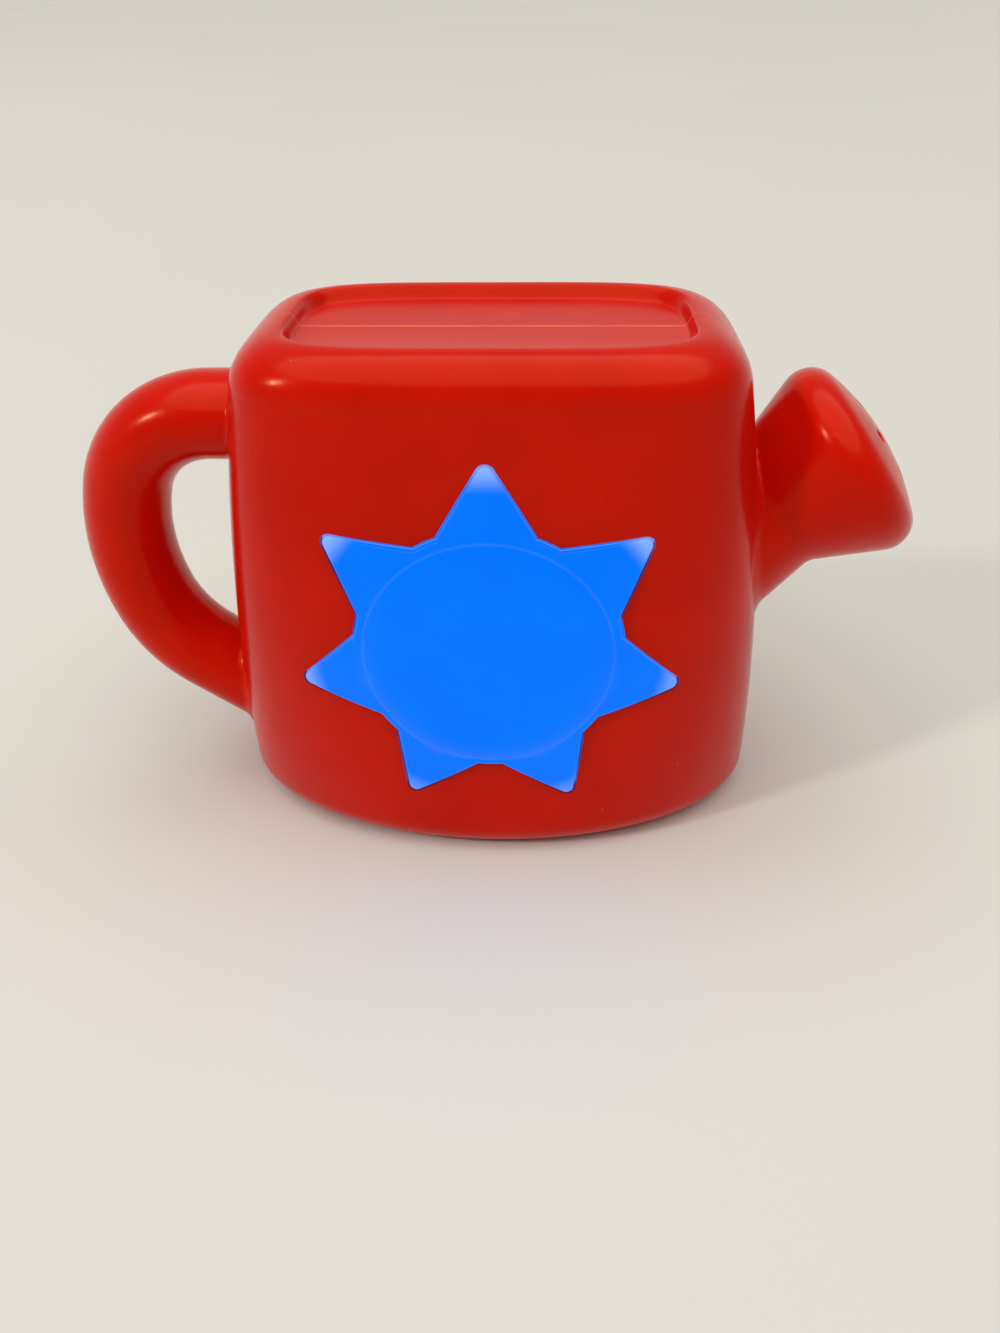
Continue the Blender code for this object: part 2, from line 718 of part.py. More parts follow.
def make_shells():
    """Front and rear shells: hollow, split on the middle plane."""
    shell = can_form("front_shell", 0, CAN_SIDES, HANDLE_SIDES, ROSE_SIDES)
    cut(shell, rose_dimples())
    rear = copy_of(shell, "rear_shell")
    far = CAN_HEIGHT + REACH_PAST
    trim(shell, block("front_half", (-far, -far, -far), (far, -SEAM_GAP / 2, far)))
    trim(rear, block("rear_half", (-far, SEAM_GAP / 2, -far), (far, far, far)))
    cavity = can_form("cavity", WALL, CAVITY_SIDES, HANDLE_CAVITY_SIDES, ROSE_CAVITY_SIDES)
    cut(shell, copy_of(cavity, "front_cavity"))
    cut(rear, cavity)
    return shell, rear


def boss_limit():
    """Solid that bosses grow out to, halfway through the wall."""
    return can_form("boss_limit", WALL / 2, CAVITY_SIDES, HANDLE_CAVITY_SIDES, ROSE_CAVITY_SIDES)


def finish_front_shell(shell):
    """Adds the bosses to the front shell and cuts the star's opening."""
    bosses = [post("boss", x, z, PILOT_BOSS, -REACH_PAST, -CLEARANCE) for x, z in shell_screw_places()]
    lugs = CARRIER_FRONT - CLEARANCE
    bosses += [post("boss", x, z, SMALL_BOSS, -REACH_PAST, lugs) for x, z in lug_places()]
    join(shell, trim(bunch(bosses), boss_limit()))
    holes = [post("hole", x, z, SCREW_BORE, PILOT_END, 0, HOLE_SIDES) for x, z in shell_screw_places()]
    deep = lugs - SMALL_SCREW_LENGTH
    holes += [post("hole", x, z, SMALL_BORE, deep, lugs + WALL, HOLE_SIDES) for x, z in lug_places()]
    opening = [(x, STAR_Z + z) for x, z in grow(star_outline(), STAR_GAP)]
    cut(shell, bunch(holes), prism("opening", opening, -REACH_PAST, lugs))


def rear_additions():
    """Bosses, speaker seat, door ledge and battery pocket, trimmed to the rear wall."""
    bosses = [post("boss", x, z, SCREW_BOSS, CLEARANCE, REACH_PAST) for x, z in shell_screw_places()]
    ear = CLAMP_BACK + CLEARANCE
    bosses += [post("boss", x, z, SMALL_BOSS, ear, REACH_PAST) for x, z in clamp_screw_places()]
    plate = SWITCH_FRONT + CLEARANCE
    bosses += [post("boss", x, z, SMALL_BOSS, plate, REACH_PAST) for x, z in switch_screw_places()]
    seat = post("seat", 0, SPEAKER_Z, SPEAKER_SEAT_RADIUS, SPEAKER_SEAT_Y, REACH_PAST, ROUND_SIDES)
    bore = SPEAKER_SEAT_RADIUS - SPEAKER_SEAT_WALL
    cut(seat, post("bore", 0, SPEAKER_Z, bore, 0, 2 * REACH_PAST, ROUND_SIDES))
    ledge = prism("ledge", grow(door_outline(), LEDGE_WIDTH), 0, REACH_PAST)
    cut(ledge, can_body("behind", WALL + CLEARANCE + LEDGE_THICKNESS, CAVITY_SIDES))
    side = POCKET_HALF_LENGTH + POCKET_WALL
    low = (-side, POCKET_FLOOR - POCKET_WALL, POCKET_LOW - POCKET_WALL)
    pocket = block("pocket", low, (side, REACH_PAST, POCKET_HIGH + POCKET_WALL))
    socket = wall_depth(0, DOOR_SCREW_Z, WALL) - SMALL_SCREW_LENGTH - BOSS_WALL
    screw_boss = post("boss", 0, DOOR_SCREW_Z, SMALL_BOSS, socket, REACH_PAST)
    return [bunch(bosses), seat, ledge, pocket, screw_boss]


def grille_places():
    """Places (x, z) of the speaker grille's holes: rings round a middle hole."""
    places = [(0, SPEAKER_Z)]
    for ring in range(1, GRILLE_RINGS + 1):
        places += circle(0, SPEAKER_Z, ring * GRILLE_PITCH, 6 * ring)
    return places


def finish_rear_shell(shell):
    """Adds the rear shell's inner walls and cuts its door, grille, switch slot and screw holes."""
    limit = boss_limit()
    for addition in rear_additions():
        join(shell, trim(addition, copy_of(limit, "limit")))
    bpy.data.objects.remove(limit)
    opening = prism("opening", grow(door_outline(), CLEARANCE), 0, 2 * REACH_PAST)
    cut(opening, can_body("ledge_face", WALL + CLEARANCE, CAVITY_SIDES))
    low = (-POCKET_HALF_LENGTH, POCKET_FLOOR, POCKET_LOW)
    pocket = block("pocket", low, (POCKET_HALF_LENGTH, REACH_PAST, POCKET_HIGH))
    cut(shell, opening, pocket)
    holes = []
    for x, z in shell_screw_places():
        holes.append(post("hole", x, z, SCREW_BORE, 0, SCREW_SEAT_Y + CLEARANCE, HOLE_SIDES))
    cut(shell, bunch(holes))
    holes = [post("hole", x, z, HEAD_BORE, SCREW_SEAT_Y, REACH_PAST) for x, z in shell_screw_places()]
    ear = CLAMP_BACK + CLEARANCE
    for x, z in clamp_screw_places():
        deep = ear + SMALL_SCREW_LENGTH - CLAMP_THICKNESS
        holes.append(post("hole", x, z, SMALL_BORE, ear - WALL, deep, HOLE_SIDES))
    plate = SWITCH_FRONT + CLEARANCE
    for x, z in switch_screw_places():
        deep = plate + SHORT_SCREW_LENGTH - SWITCH_PLATE
        holes.append(post("hole", x, z, SMALL_BORE, plate - WALL, deep, HOLE_SIDES))
    for x, z in grille_places():
        holes.append(post("hole", x, z, GRILLE_HOLE_RADIUS, SPEAKER_SEAT_Y, REACH_PAST, GRILLE_SIDES))
    deep = door_screw_seat() - SMALL_SCREW_LENGTH - CLEARANCE
    holes.append(post("hole", 0, DOOR_SCREW_Z, SMALL_BORE, deep, REACH_PAST, HOLE_SIDES))
    holes.append(switch_slot())
    holes += [contact_slot(UPPER_BATTERY_Z), contact_slot(LOWER_BATTERY_Z)]
    cut(shell, bunch(holes))


def switch_slot():
    """Slot that the power knob slides in; at rest the knob is at its lower end."""
    half = KNOB_HALF_WIDTH + KNOB_GAP
    low = SWITCH_Z - SWITCH_TRAVEL / 2 - KNOB_HALF_HEIGHT - KNOB_GAP
    high = SWITCH_Z + SWITCH_TRAVEL / 2 + KNOB_HALF_HEIGHT + KNOB_GAP
    outline = rounded_rectangle(SWITCH_X - half, SWITCH_X + half, low, high, half * 0.6, 2)
    return prism("slot", outline, KNOB_FLANGE_BACK, REACH_PAST)


def contact_slot(z):
    """Slot in the pocket's floor for a contact's solder tail."""
    outer = -POCKET_HALF_LENGTH
    inner = outer + CONTACT_THICKNESS + 2 * CLEARANCE
    low = (outer, POCKET_FLOOR - 2 * POCKET_WALL, z - CONTACT_TAIL / 2 - CLEARANCE)
    return block("slot", low, (inner, POCKET_FLOOR + POCKET_WALL, z + CONTACT_TAIL / 2 + CLEARANCE))


def make_star_button():
    """Star cap with a retaining flange, guide posts and a pusher."""
    edge = star_outline()
    top = grow(edge, -STAR_EDGE)
    flange = grow(edge, STAR_FLANGE_WIDTH)
    hollow = grow(edge, -STAR_SKIN)
    crown = scaled_to(edge, STAR_CROWN_RADIUS)
    middle = scaled_to(edge, STAR_CROWN_RADIUS / 2)
    inner_crown = scaled_to(edge, STAR_CROWN_RADIUS - STAR_SKIN)
    rings = [
        [Vector((0, star_front_y(0, 0), STAR_Z))],
        star_ring(middle, star_front_y),
        star_ring(crown, star_front_y),
        star_ring(top, star_front_y),
        star_ring(edge, star_front_y, STAR_EDGE),
        star_ring(edge, star_inner_y),
        star_ring(flange, star_inner_y),
        star_ring(flange, star_inner_y, STAR_FLANGE),
        star_ring(hollow, star_inner_y, STAR_FLANGE),
        star_ring(hollow, star_front_y, STAR_SKIN),
        star_ring(inner_crown, star_front_y, STAR_SKIN),
        [Vector((0, star_front_y(0, 0) + STAR_SKIN, STAR_Z))],
    ]
    star = skin("star_button", rings)
    pins = []
    for x, z in guide_places():
        start = star_front_y(x, z - STAR_Z) + STAR_SKIN / 2
        end = CARRIER_FRONT - GUIDE_LENGTH + GUIDE_ENGAGED
        pins.append(post("pin", x, z, GUIDE_POST_RADIUS, start, end))
    start = star_front_y(0, 0) + STAR_SKIN / 2
    pins.append(post("pusher", 0, STAR_Z, PUSHER_RADIUS, start, dome_top() - CLEARANCE))
    join(star, bunch(pins))
    move_origin(star, (0, star_front_y(0, 0), STAR_Z))
    return star


def dome_top():
    """Depth of the rubber dome's pad."""
    return BOARD_FRONT - CLEARANCE - DOME_HEIGHT


def make_carrier():
    """White plate behind the star: guide sleeves, lamp holes, lugs and board standoffs."""
    outline = circle(0, STAR_Z, CARRIER_DISC_RADIUS, ROUND_SIDES)
    for x, z in lug_places():
        outline += circle(x, z, LUG_RADIUS, BOSS_SIDES)
    carrier = prism("button_carrier", hull(outline), CARRIER_FRONT, CARRIER_BACK)
    sleeves = CARRIER_FRONT - GUIDE_LENGTH
    middle = (CARRIER_FRONT + CARRIER_BACK) / 2
    bosses = [post("sleeve", x, z, GUIDE_RADIUS, sleeves, middle, HOLE_SIDES) for x, z in guide_places()]
    back = CARRIER_BACK + BOARD_STANDOFF
    bosses += [post("standoff", x, z, SMALL_BOSS, middle, back, HOLE_SIDES) for x, z in board_screw_places()]
    join(carrier, bunch(bosses))
    front = sleeves - WALL
    far = back + WALL
    bore = GUIDE_POST_RADIUS + CLEARANCE
    holes = [post("hole", x, z, bore, front, far, BOSS_SIDES) for x, z in guide_places()]
    holes += [post("hole", x, z, LED_FLANGE_RADIUS + CLEARANCE, front, far) for x, z in led_places()]
    holes += [post("hole", x, z, SMALL_BORE, front, far, SCREW_SIDES) for x, z in lug_places()]
    holes += [post("hole", x, z, SMALL_BORE, front, far, SCREW_SIDES) for x, z in board_screw_places()]
    holes.append(post("hole", 0, STAR_Z, DOME_RADIUS + 2 * CLEARANCE, front, far))
    return cut(carrier, bunch(holes))


def make_board():
    """Circuit board behind the carrier."""
    low = STAR_Z - BOARD_HALF_HEIGHT
    high = STAR_Z + BOARD_HALF_HEIGHT
    outline = rounded_rectangle(-BOARD_HALF_WIDTH, BOARD_HALF_WIDTH, low, high, WALL / 2, 1)
    board = prism("circuit_board", outline, BOARD_FRONT, BOARD_BACK)
    holes = [post("hole", x, z, SMALL_BORE, BOARD_FRONT - WALL, BOARD_BACK + WALL, HOLE_SIDES)
             for x, z in board_screw_places()]
    return cut(board, bunch(holes))


def make_switch_dome():
    """Rubber dome that the star's pusher presses onto the board."""
    base = BOARD_FRONT - CLEARANCE
    top = dome_top()
    foot = base - DOME_SKIN
    pad = top + 2 * DOME_SKIN
    profile = [
        (top, 0), (top, DOME_TOP_RADIUS - DOME_SKIN / 2), (pad, DOME_TOP_RADIUS),
        (foot, DOME_RADIUS - DOME_SKIN), (foot, DOME_RADIUS), (base, DOME_RADIUS),
        (base, DOME_RADIUS - 2 * DOME_SKIN), (pad, DOME_TOP_RADIUS - DOME_SKIN), (pad, 0),
    ]
    return turned("switch_dome", profile, BOSS_SIDES, Matrix.Translation((0, 0, STAR_Z)))


def make_leds():
    """Round lamps that shine through the star."""
    base = BOARD_FRONT - CLEARANCE
    neck = base - LED_FLANGE
    shoulder = base - LED_HEIGHT + LED_RADIUS
    profile = [(base, 0), (base, LED_FLANGE_RADIUS), (neck, LED_FLANGE_RADIUS), (neck, LED_RADIUS)]
    for turn in (0, 35, 65):
        angle = math.radians(turn)
        profile.append((shoulder - LED_RADIUS * math.sin(angle), LED_RADIUS * math.cos(angle)))
    profile.append((base - LED_HEIGHT, 0))
    lamps = []
    for number, (x, z) in enumerate(led_places(), 1):
        lamps.append(turned(f"led_{number}", profile, SCREW_SIDES, Matrix.Translation((x, 0, z))))
    return lamps


def make_sound_chip():
    """Black potting over the sound chip."""
    base = BOARD_BACK + CLEARANCE
    profile = [(base, 0), (base, CHIP_RADIUS)]
    for turn in (25, 60):
        angle = math.radians(turn)
        profile.append((base + CHIP_HEIGHT * math.sin(angle), CHIP_RADIUS * math.cos(angle)))
    profile.append((base + CHIP_HEIGHT, 0))
    return turned("sound_chip", profile, BOSS_SIDES, Matrix.Translation((CHIP_X, 0, STAR_Z + CHIP_RISE)))


def make_capacitor():
    """Electrolytic capacitor on the back of the board."""
    base = BOARD_BACK + CLEARANCE
    groove = base + CAPACITOR_HEIGHT * 0.2
    top = base + CAPACITOR_HEIGHT
    profile = [
        (base, 0), (base, CAPACITOR_RADIUS), (groove, CAPACITOR_RADIUS), (groove, CAPACITOR_RADIUS * 0.92),
        (groove + WALL / 4, CAPACITOR_RADIUS), (top, CAPACITOR_RADIUS), (top, 0),
    ]
    place = Matrix.Translation((CAPACITOR_X, 0, STAR_Z + CAPACITOR_RISE))
    return turned("capacitor", profile, HOLE_SIDES, place)


def coil(name, start, end, radius, end_radius, wire, turns, points=8):
    """A wire spring from one point to another, its radius changing evenly."""
    count = turns * points
    axis = end - start
    side = Vector((0, 0, 1))
    other = axis.normalized().cross(side)
    path = []
    for step in range(count + 1):
        share = step / count
        turn = 2 * math.pi * turns * share
        reach = radius + (end_radius - radius) * share
        path.append(start + axis * share + reach * (math.cos(turn) * side + math.sin(turn) * other))
    return rod(name, path, wire, 0)


def rod(name, path, radius, resolution):
    """A round wire along points."""
    curve = bpy.data.curves.new(name, "CURVE")
    curve.dimensions = "3D"
    curve.bevel_depth = radius
    curve.bevel_resolution = resolution
    curve.use_fill_caps = True
    line = curve.splines.new("POLY")
    line.points.add(len(path) - 1)
    for point, place in zip(line.points, path):
        point.co = (*place, 1)
    body = bpy.data.objects.new(name, curve)
    bpy.context.scene.collection.objects.link(body)
    return body


def make_button_springs():
    """Return springs round the guide sleeves, between carrier and star."""
    springs = []
    for number, (x, z) in enumerate(guide_places(), 1):
        start = Vector((x, CARRIER_FRONT - CLEARANCE - SPRING_WIRE, z))
        rear = star_front_y(x, z - STAR_Z) + STAR_SKIN
        end = Vector((x, rear + 2 * CLEARANCE + SPRING_WIRE, z))
        springs.append(coil(f"button_spring_{number}", start, end, SPRING_RADIUS, SPRING_RADIUS,
                            SPRING_WIRE, SPRING_TURNS))
    return springs


def speaker_place():
    """Frame of the speaker: +Y outwards from the front of its rim."""
    return Matrix.Translation((0, SPEAKER_FRONT, SPEAKER_Z))


def make_speaker():
    """Steel basket, paper cone and magnet of the speaker."""
    place = speaker_place()
    neck = SPEAKER_RADIUS - CLAMP_LAP - 2 * CLEARANCE
    mouth = neck - SPEAKER_SHEET
    floor = SPEAKER_SHEET - SPEAKER_DEPTH
    basket = [
        (-SPEAKER_DEPTH, 0), (-SPEAKER_DEPTH, SPEAKER_BACK_RADIUS), (-SPEAKER_RIM, neck),
        (-SPEAKER_RIM, SPEAKER_RADIUS), (0, SPEAKER_RADIUS), (0, mouth),
        (floor, SPEAKER_BACK_RADIUS - SPEAKER_SHEET), (floor, 0),
    ]
    frame = turned("speaker_frame", basket, ROUND_SIDES, place)
    rim = mouth - 2 * CLEARANCE
    hub = floor + CLEARANCE
    cap = CONE_CAP_RADIUS
    paper = [
        (hub, 0), (hub, cap), (-CONE_SHEET, rim), (0, rim), (hub + CONE_SHEET, cap),
        (hub + cap / 3, cap / 2), (hub + cap / 2, 0),
    ]
    cone = turned("speaker_cone", paper, ROUND_SIDES, place)
    top = -SPEAKER_DEPTH - CLEARANCE
    low = top - MAGNET_HEIGHT
    slug = [(low, 0), (low, MAGNET_RADIUS - WALL / 4), (low + WALL / 4, MAGNET_RADIUS), (top, MAGNET_RADIUS),
            (top, 0)]
    magnet = turned("speaker_magnet", slug, ROUND_SIDES, place)
    return frame, cone, magnet


def make_speaker_clamp():
    """Ring with two ears that holds the speaker's rim on its seat."""
    outline = circle(0, SPEAKER_Z, SPEAKER_SEAT_RADIUS, ROUND_SIDES)
    for x, z in clamp_screw_places():
        outline += circle(x, z, CLAMP_EAR_RADIUS, HOLE_SIDES)
    front = CLAMP_BACK - CLAMP_THICKNESS
    clamp = prism("speaker_clamp", hull(outline), front, CLAMP_BACK)
    bore = SPEAKER_RADIUS - CLAMP_LAP
    hole = post("hole", 0, SPEAKER_Z, bore, front - WALL, CLAMP_BACK + WALL, ROUND_SIDES)
    holes = [post("hole", x, z, SMALL_BORE, front - WALL, CLAMP_BACK + WALL, SCREW_SIDES)
             for x, z in clamp_screw_places()]
    return cut(clamp, bunch([hole] + holes))


def cell_profile():
    """Profile (along, radius) of a battery from its flat end to its nub."""
    body = BATTERY_LENGTH - BATTERY_NUB
    edge = CLEARANCE
    return [
        (0, 0), (0, BATTERY_RADIUS - edge), (edge, BATTERY_RADIUS), (body - edge, BATTERY_RADIUS),
        (body, BATTERY_RADIUS - edge), (body, BATTERY_NUB_RADIUS), (BATTERY_LENGTH, BATTERY_NUB_RADIUS),
        (BATTERY_LENGTH, 0),
    ]


def battery_frame(z, side):
    """Frame of a battery whose nub points along X towards the given side."""
    turn = Matrix.Rotation(-side * math.pi / 2, 4, "Z")
    nub = POCKET_HALF_LENGTH - CONTACT_THICKNESS - 2 * CLEARANCE
    return Matrix.Translation((side * (nub - BATTERY_LENGTH), BATTERY_Y, z)) @ turn


def make_batteries():
    """Two cells that lie head to tail, and their contact springs."""
    pieces = []
    for number, (z, side) in enumerate(((LOWER_BATTERY_Z, 1), (UPPER_BATTERY_Z, -1)), 1):
        pieces.append(turned(f"battery_{number}", cell_profile(), CELL_SIDES, battery_frame(z, side)))
        plate = POCKET_HALF_LENGTH - CONTACT_THICKNESS - CLEARANCE
        wide = Vector((-side * (plate - CLEARANCE - BATTERY_SPRING_WIRE), BATTERY_Y, z))
        flat = -side * (BATTERY_LENGTH - POCKET_HALF_LENGTH + CONTACT_THICKNESS + 2 * CLEARANCE)
        narrow = Vector((flat - side * (CLEARANCE + BATTERY_SPRING_WIRE), BATTERY_Y, z))
        spring = coil(f"battery_spring_{number}", wide, narrow, BATTERY_SPRING_WIDE, BATTERY_SPRING_NARROW,
                      BATTERY_SPRING_WIRE, BATTERY_SPRING_TURNS)
        pieces.append(spring)
    return pieces


def contact_plate(name, side, low, high):
    """Flat contact on one end wall of the pocket."""
    outer = POCKET_HALF_LENGTH - CLEARANCE
    inner = outer - CONTACT_THICKNESS
    ends = sorted((side * inner, side * outer))
    floor = POCKET_FLOOR + CLEARANCE
    return block(name, (ends[0], floor, low), (ends[1], floor + 2 * CONTACT_HALF_HEIGHT, high))


def make_contacts():
    """Bridge contact on one side, and two contacts with solder tails on the other."""
    low = LOWER_BATTERY_Z - CONTACT_HALF_HEIGHT
    high = UPPER_BATTERY_Z + CONTACT_HALF_HEIGHT
    contacts = [contact_plate("contact_bridge", 1, low, high)]
    for name, z in (("contact_negative", LOWER_BATTERY_Z), ("contact_positive", UPPER_BATTERY_Z)):
        plate = contact_plate(name, -1, z - CONTACT_HALF_HEIGHT, z + CONTACT_HALF_HEIGHT)
        outer = CLEARANCE - POCKET_HALF_LENGTH
        start = (outer, tail_end(), z - CONTACT_TAIL / 2)
        stop = (outer + CONTACT_THICKNESS, POCKET_FLOOR + 2 * POCKET_WALL, z + CONTACT_TAIL / 2)
        contacts.append(join(plate, block("tail", start, stop)))
    return contacts


def tail_end():
    """Depth of the contacts' solder tails, in front of the pocket's floor."""
    return POCKET_FLOOR - POCKET_WALL - CONTACT_TAIL


def door_screw_seat():
    """Depth of the seat for the door's screw, sunk into the door's outer face."""
    return wall_depth(0, DOOR_SCREW_Z, 0) - DOOR_HEAD_SINK


def make_battery_door():
    """Curved door, flush with the rear wall, with two ribs that hold the cells."""
    door = prism("battery_door", door_outline(), 0, REACH_PAST)
    trim(door, can_body("face", 0, CAN_SIDES))
    cut(door, can_body("back", WALL, CAVITY_SIDES))
    ribs = []
    low = POCKET_LOW + DOOR_RIB_END_GAP
    high = POCKET_HIGH - DOOR_RIB_END_GAP
    for side in (-1, 1):
        left = side * DOOR_RIB_X - DOOR_RIB_THICKNESS / 2
        start = (left, BATTERY_Y + BATTERY_RADIUS + CLEARANCE, low)
        ribs.append(block("rib", start, (left + DOOR_RIB_THICKNESS, REACH_PAST, high)))
    join(door, trim(bunch(ribs), can_body("rib_limit", WALL / 2, CAVITY_SIDES)))
    seat = door_screw_seat()
    cut(door, post("hole", 0, DOOR_SCREW_Z, SMALL_BORE, 0, REACH_PAST, HOLE_SIDES))
    head = SMALL_SCREW_HEAD_RADIUS + CLEARANCE
    cut(door, post("hole", 0, DOOR_SCREW_Z, head, seat, REACH_PAST, BOSS_SIDES))
    move_origin(door, (0, seat, (DOOR_LOW + DOOR_HIGH) / 2))
    return door


def make_power_switch():
    """Slide switch inside the rear shell, and its knob."""
    left = SWITCH_X - SWITCH_HALF_WIDTH
    right = SWITCH_X + SWITCH_HALF_WIDTH
    deep = SWITCH_FRONT - SWITCH_PLATE - SWITCH_DEPTH
    low = (left, deep, SWITCH_Z - SWITCH_HALF_HEIGHT)
    body = block("power_switch", low, (right, SWITCH_FRONT - SWITCH_PLATE / 2, SWITCH_Z + SWITCH_HALF_HEIGHT))
    reach = SWITCH_SCREW_OFFSET + SMALL_BORE + SWITCH_PLATE
    plate = rounded_rectangle(left, right, SWITCH_Z - reach, SWITCH_Z + reach, WALL / 2, 2)
    join(body, prism("plate", plate, SWITCH_FRONT - SWITCH_PLATE, SWITCH_FRONT))
    holes = [post("hole", x, z, SMALL_BORE, SWITCH_FRONT - WALL, SWITCH_FRONT + WALL, HOLE_SIDES)
             for x, z in switch_screw_places()]
    cut(body, bunch(holes))
    rest = SWITCH_Z - SWITCH_TRAVEL / 2
    side = KNOB_HALF_WIDTH + KNOB_FLANGE_MARGIN
    reach = KNOB_HALF_HEIGHT + SWITCH_TRAVEL / 2
    flange = rounded_rectangle(SWITCH_X - side, SWITCH_X + side, rest - reach, rest + reach, WALL / 2, 2)
    knob = prism("power_knob", flange, KNOB_FLANGE_BACK - KNOB_FLANGE, KNOB_FLANGE_BACK)
    stem = rounded_rectangle(SWITCH_X - KNOB_HALF_WIDTH, SWITCH_X + KNOB_HALF_WIDTH, rest - KNOB_HALF_HEIGHT,
                             rest + KNOB_HALF_HEIGHT, KNOB_HALF_WIDTH / 2, 2)
    top = wall_depth(SWITCH_X, SWITCH_Z, 0) + KNOB_PROUD
    join(knob, prism("stem", stem, KNOB_FLANGE_BACK - KNOB_FLANGE / 2, top))
    move_origin(knob, (SWITCH_X, top, rest))
    return body, knob


def make_screws():
    """Every screw: one shared mesh for each kind, placed by its seat and its way in."""
    shell = screw_mesh("shell_screw", SCREW_HEAD_RADIUS, SCREW_HEAD, SCREW_SHANK_RADIUS, SCREW_LENGTH)
    small, short = [
        screw_mesh("small_screw", SMALL_SCREW_HEAD_RADIUS, SMALL_SCREW_HEAD, SMALL_SCREW_SHANK_RADIUS, length)
        for length in (SMALL_SCREW_LENGTH, SHORT_SCREW_LENGTH)
    ]
    inward = [
        ("shell_screw", shell, shell_screw_places(), SCREW_SEAT_Y),
        ("carrier_screw", small, lug_places(), CARRIER_BACK),
        ("board_screw", small, board_screw_places(), BOARD_BACK),
        ("door_screw", small, [(0, DOOR_SCREW_Z)], door_screw_seat()),
    ]
    outward = [
        ("clamp_screw", small, clamp_screw_places(), CLAMP_BACK - CLAMP_THICKNESS),
        ("switch_screw", short, switch_screw_places(), SWITCH_FRONT - SWITCH_PLATE),
    ]
    screws = []
    for groups, turn in ((inward, 0), (outward, math.pi)):
        for kind, mesh, places, seat in groups:
            for number, (x, z) in enumerate(places, 1):
                name = kind if len(places) == 1 else f"{kind}_{number}"
                screw = bpy.data.objects.new(name, mesh)
                screw.location = (x, seat, z)
                screw.rotation_euler = (0, 0, turn)
                bpy.context.scene.collection.objects.link(screw)
                screws.append(screw)
    return screws


def screw_mesh(name, head_radius, head, shank_radius, length):
    """Pan-head screw along Y with its seat at 0, pointing to -Y."""
    profile = [
        (-length, 0), (-length + 2 * shank_radius, shank_radius), (CLEARANCE, shank_radius),
        (CLEARANCE, head_radius), (CLEARANCE + head, head_radius * 0.7), (CLEARANCE + head, 0),
    ]
    pattern = turned(name, profile, SCREW_SIDES)
    mesh = pattern.data
    bpy.data.objects.remove(pattern)
    return mesh


def smooth_path(points, steps):
    """Points along a smooth curve through the given ones."""
    ends = [2 * points[0] - points[1]] + points + [2 * points[-1] - points[-2]]
    path = []
    for index in range(1, len(ends) - 2):
        before, here, there, after = ends[index - 1:index + 3]
        for step in range(steps):
            t = step / steps
            bend = 2 * before - 5 * here + 4 * there - after
            twist = 3 * here - before - 3 * there + after
            path.append((2 * here + (there - before) * t + bend * t * t + twist * t ** 3) / 2)
    return path + [points[-1]]


def make_wires():
    """Wires from the board to the battery contacts, the speaker and the switch."""
    board = BOARD_BACK + CLEARANCE
    tail = tail_end() - CLEARANCE
    tail_x = CONTACT_THICKNESS / 2 + CLEARANCE - POCKET_HALF_LENGTH
    solder = SPEAKER_BACK - CLEARANCE
    ring = (MAGNET_RADIUS + SPEAKER_BACK_RADIUS) / 2
    pin = SWITCH_FRONT - SWITCH_PLATE - SWITCH_DEPTH - CLEARANCE
    left = -0.75 * BOARD_HALF_WIDTH
    low = -0.65 * BOARD_HALF_HEIGHT
    apart = 4 * WIRE_RADIUS
    runs = [
        ("battery_wire_negative", (left, low), (tail_x, tail, LOWER_BATTERY_Z), WIRE_SAG),
        ("battery_wire_positive", (left, low / 2), (tail_x, tail, UPPER_BATTERY_Z), WIRE_SAG),
        ("speaker_wire_1", (-apart, 0), (-apart, solder, SPEAKER_Z - ring), -WIRE_SAG),
        ("speaker_wire_2", (apart, 0), (apart, solder, SPEAKER_Z - ring), -WIRE_SAG),
        ("switch_wire_1", (left, -low / 2), (SWITCH_X, pin, SWITCH_Z - apart), WIRE_SAG),
        ("switch_wire_2", (left, -low), (SWITCH_X, pin, SWITCH_Z + apart), WIRE_SAG),
    ]
    wires = []
    for name, (x, z), end, sag in runs:
        start = Vector((x, board, STAR_Z + z))
        finish = Vector(end)
        lead = Vector((0, WIRE_RADIUS * 5, 0))
        middle = (start + finish) / 2 - Vector((0, 0, sag))
        route = [start, start + lead, middle, finish - lead, finish]
        wires.append(rod(name, smooth_path(route, WIRE_STEPS), WIRE_RADIUS, 0))
    return wires


def move_origin(body, place):
    """Puts a body's origin at a place, with the body where it was."""
    body.data.transform(Matrix.Translation(-Vector(place)))
    body.location = place


def material(name, colour, roughness, metallic=0.0):
    """A plain Principled material; the colour is linear."""
    finish = bpy.data.materials.new(name)
    finish.use_nodes = True
    shader = finish.node_tree.nodes["Principled BSDF"]
    shader.inputs["Base Color"].default_value = (*colour, 1)
    shader.inputs["Roughness"].default_value = roughness
    shader.inputs["Metallic"].default_value = metallic
    return finish


def dress(bodies, finish, parent, smooth_angle=math.radians(35)):
    """Gives bodies their material, smooth round faces and a parent."""
    for body in bodies:
        body.data.materials.clear()
        body.data.materials.append(finish)
        body.parent = parent
        if body.type == "MESH":
            body.data.shade_smooth()
            body.data.set_sharp_from_angle(angle=smooth_angle)


def centre_on_origin(root):
    """Moves the toy so that the middle of its outline stands over the origin."""
    bpy.context.view_layer.update()
    corners = [body.matrix_world @ Vector(corner) for body in root.children for corner in body.bound_box]
    across = [corner.x for corner in corners]
    depth = [corner.y for corner in corners]
    root.location = (-(min(across) + max(across)) / 2, -(min(depth) + max(depth)) / 2, 0)


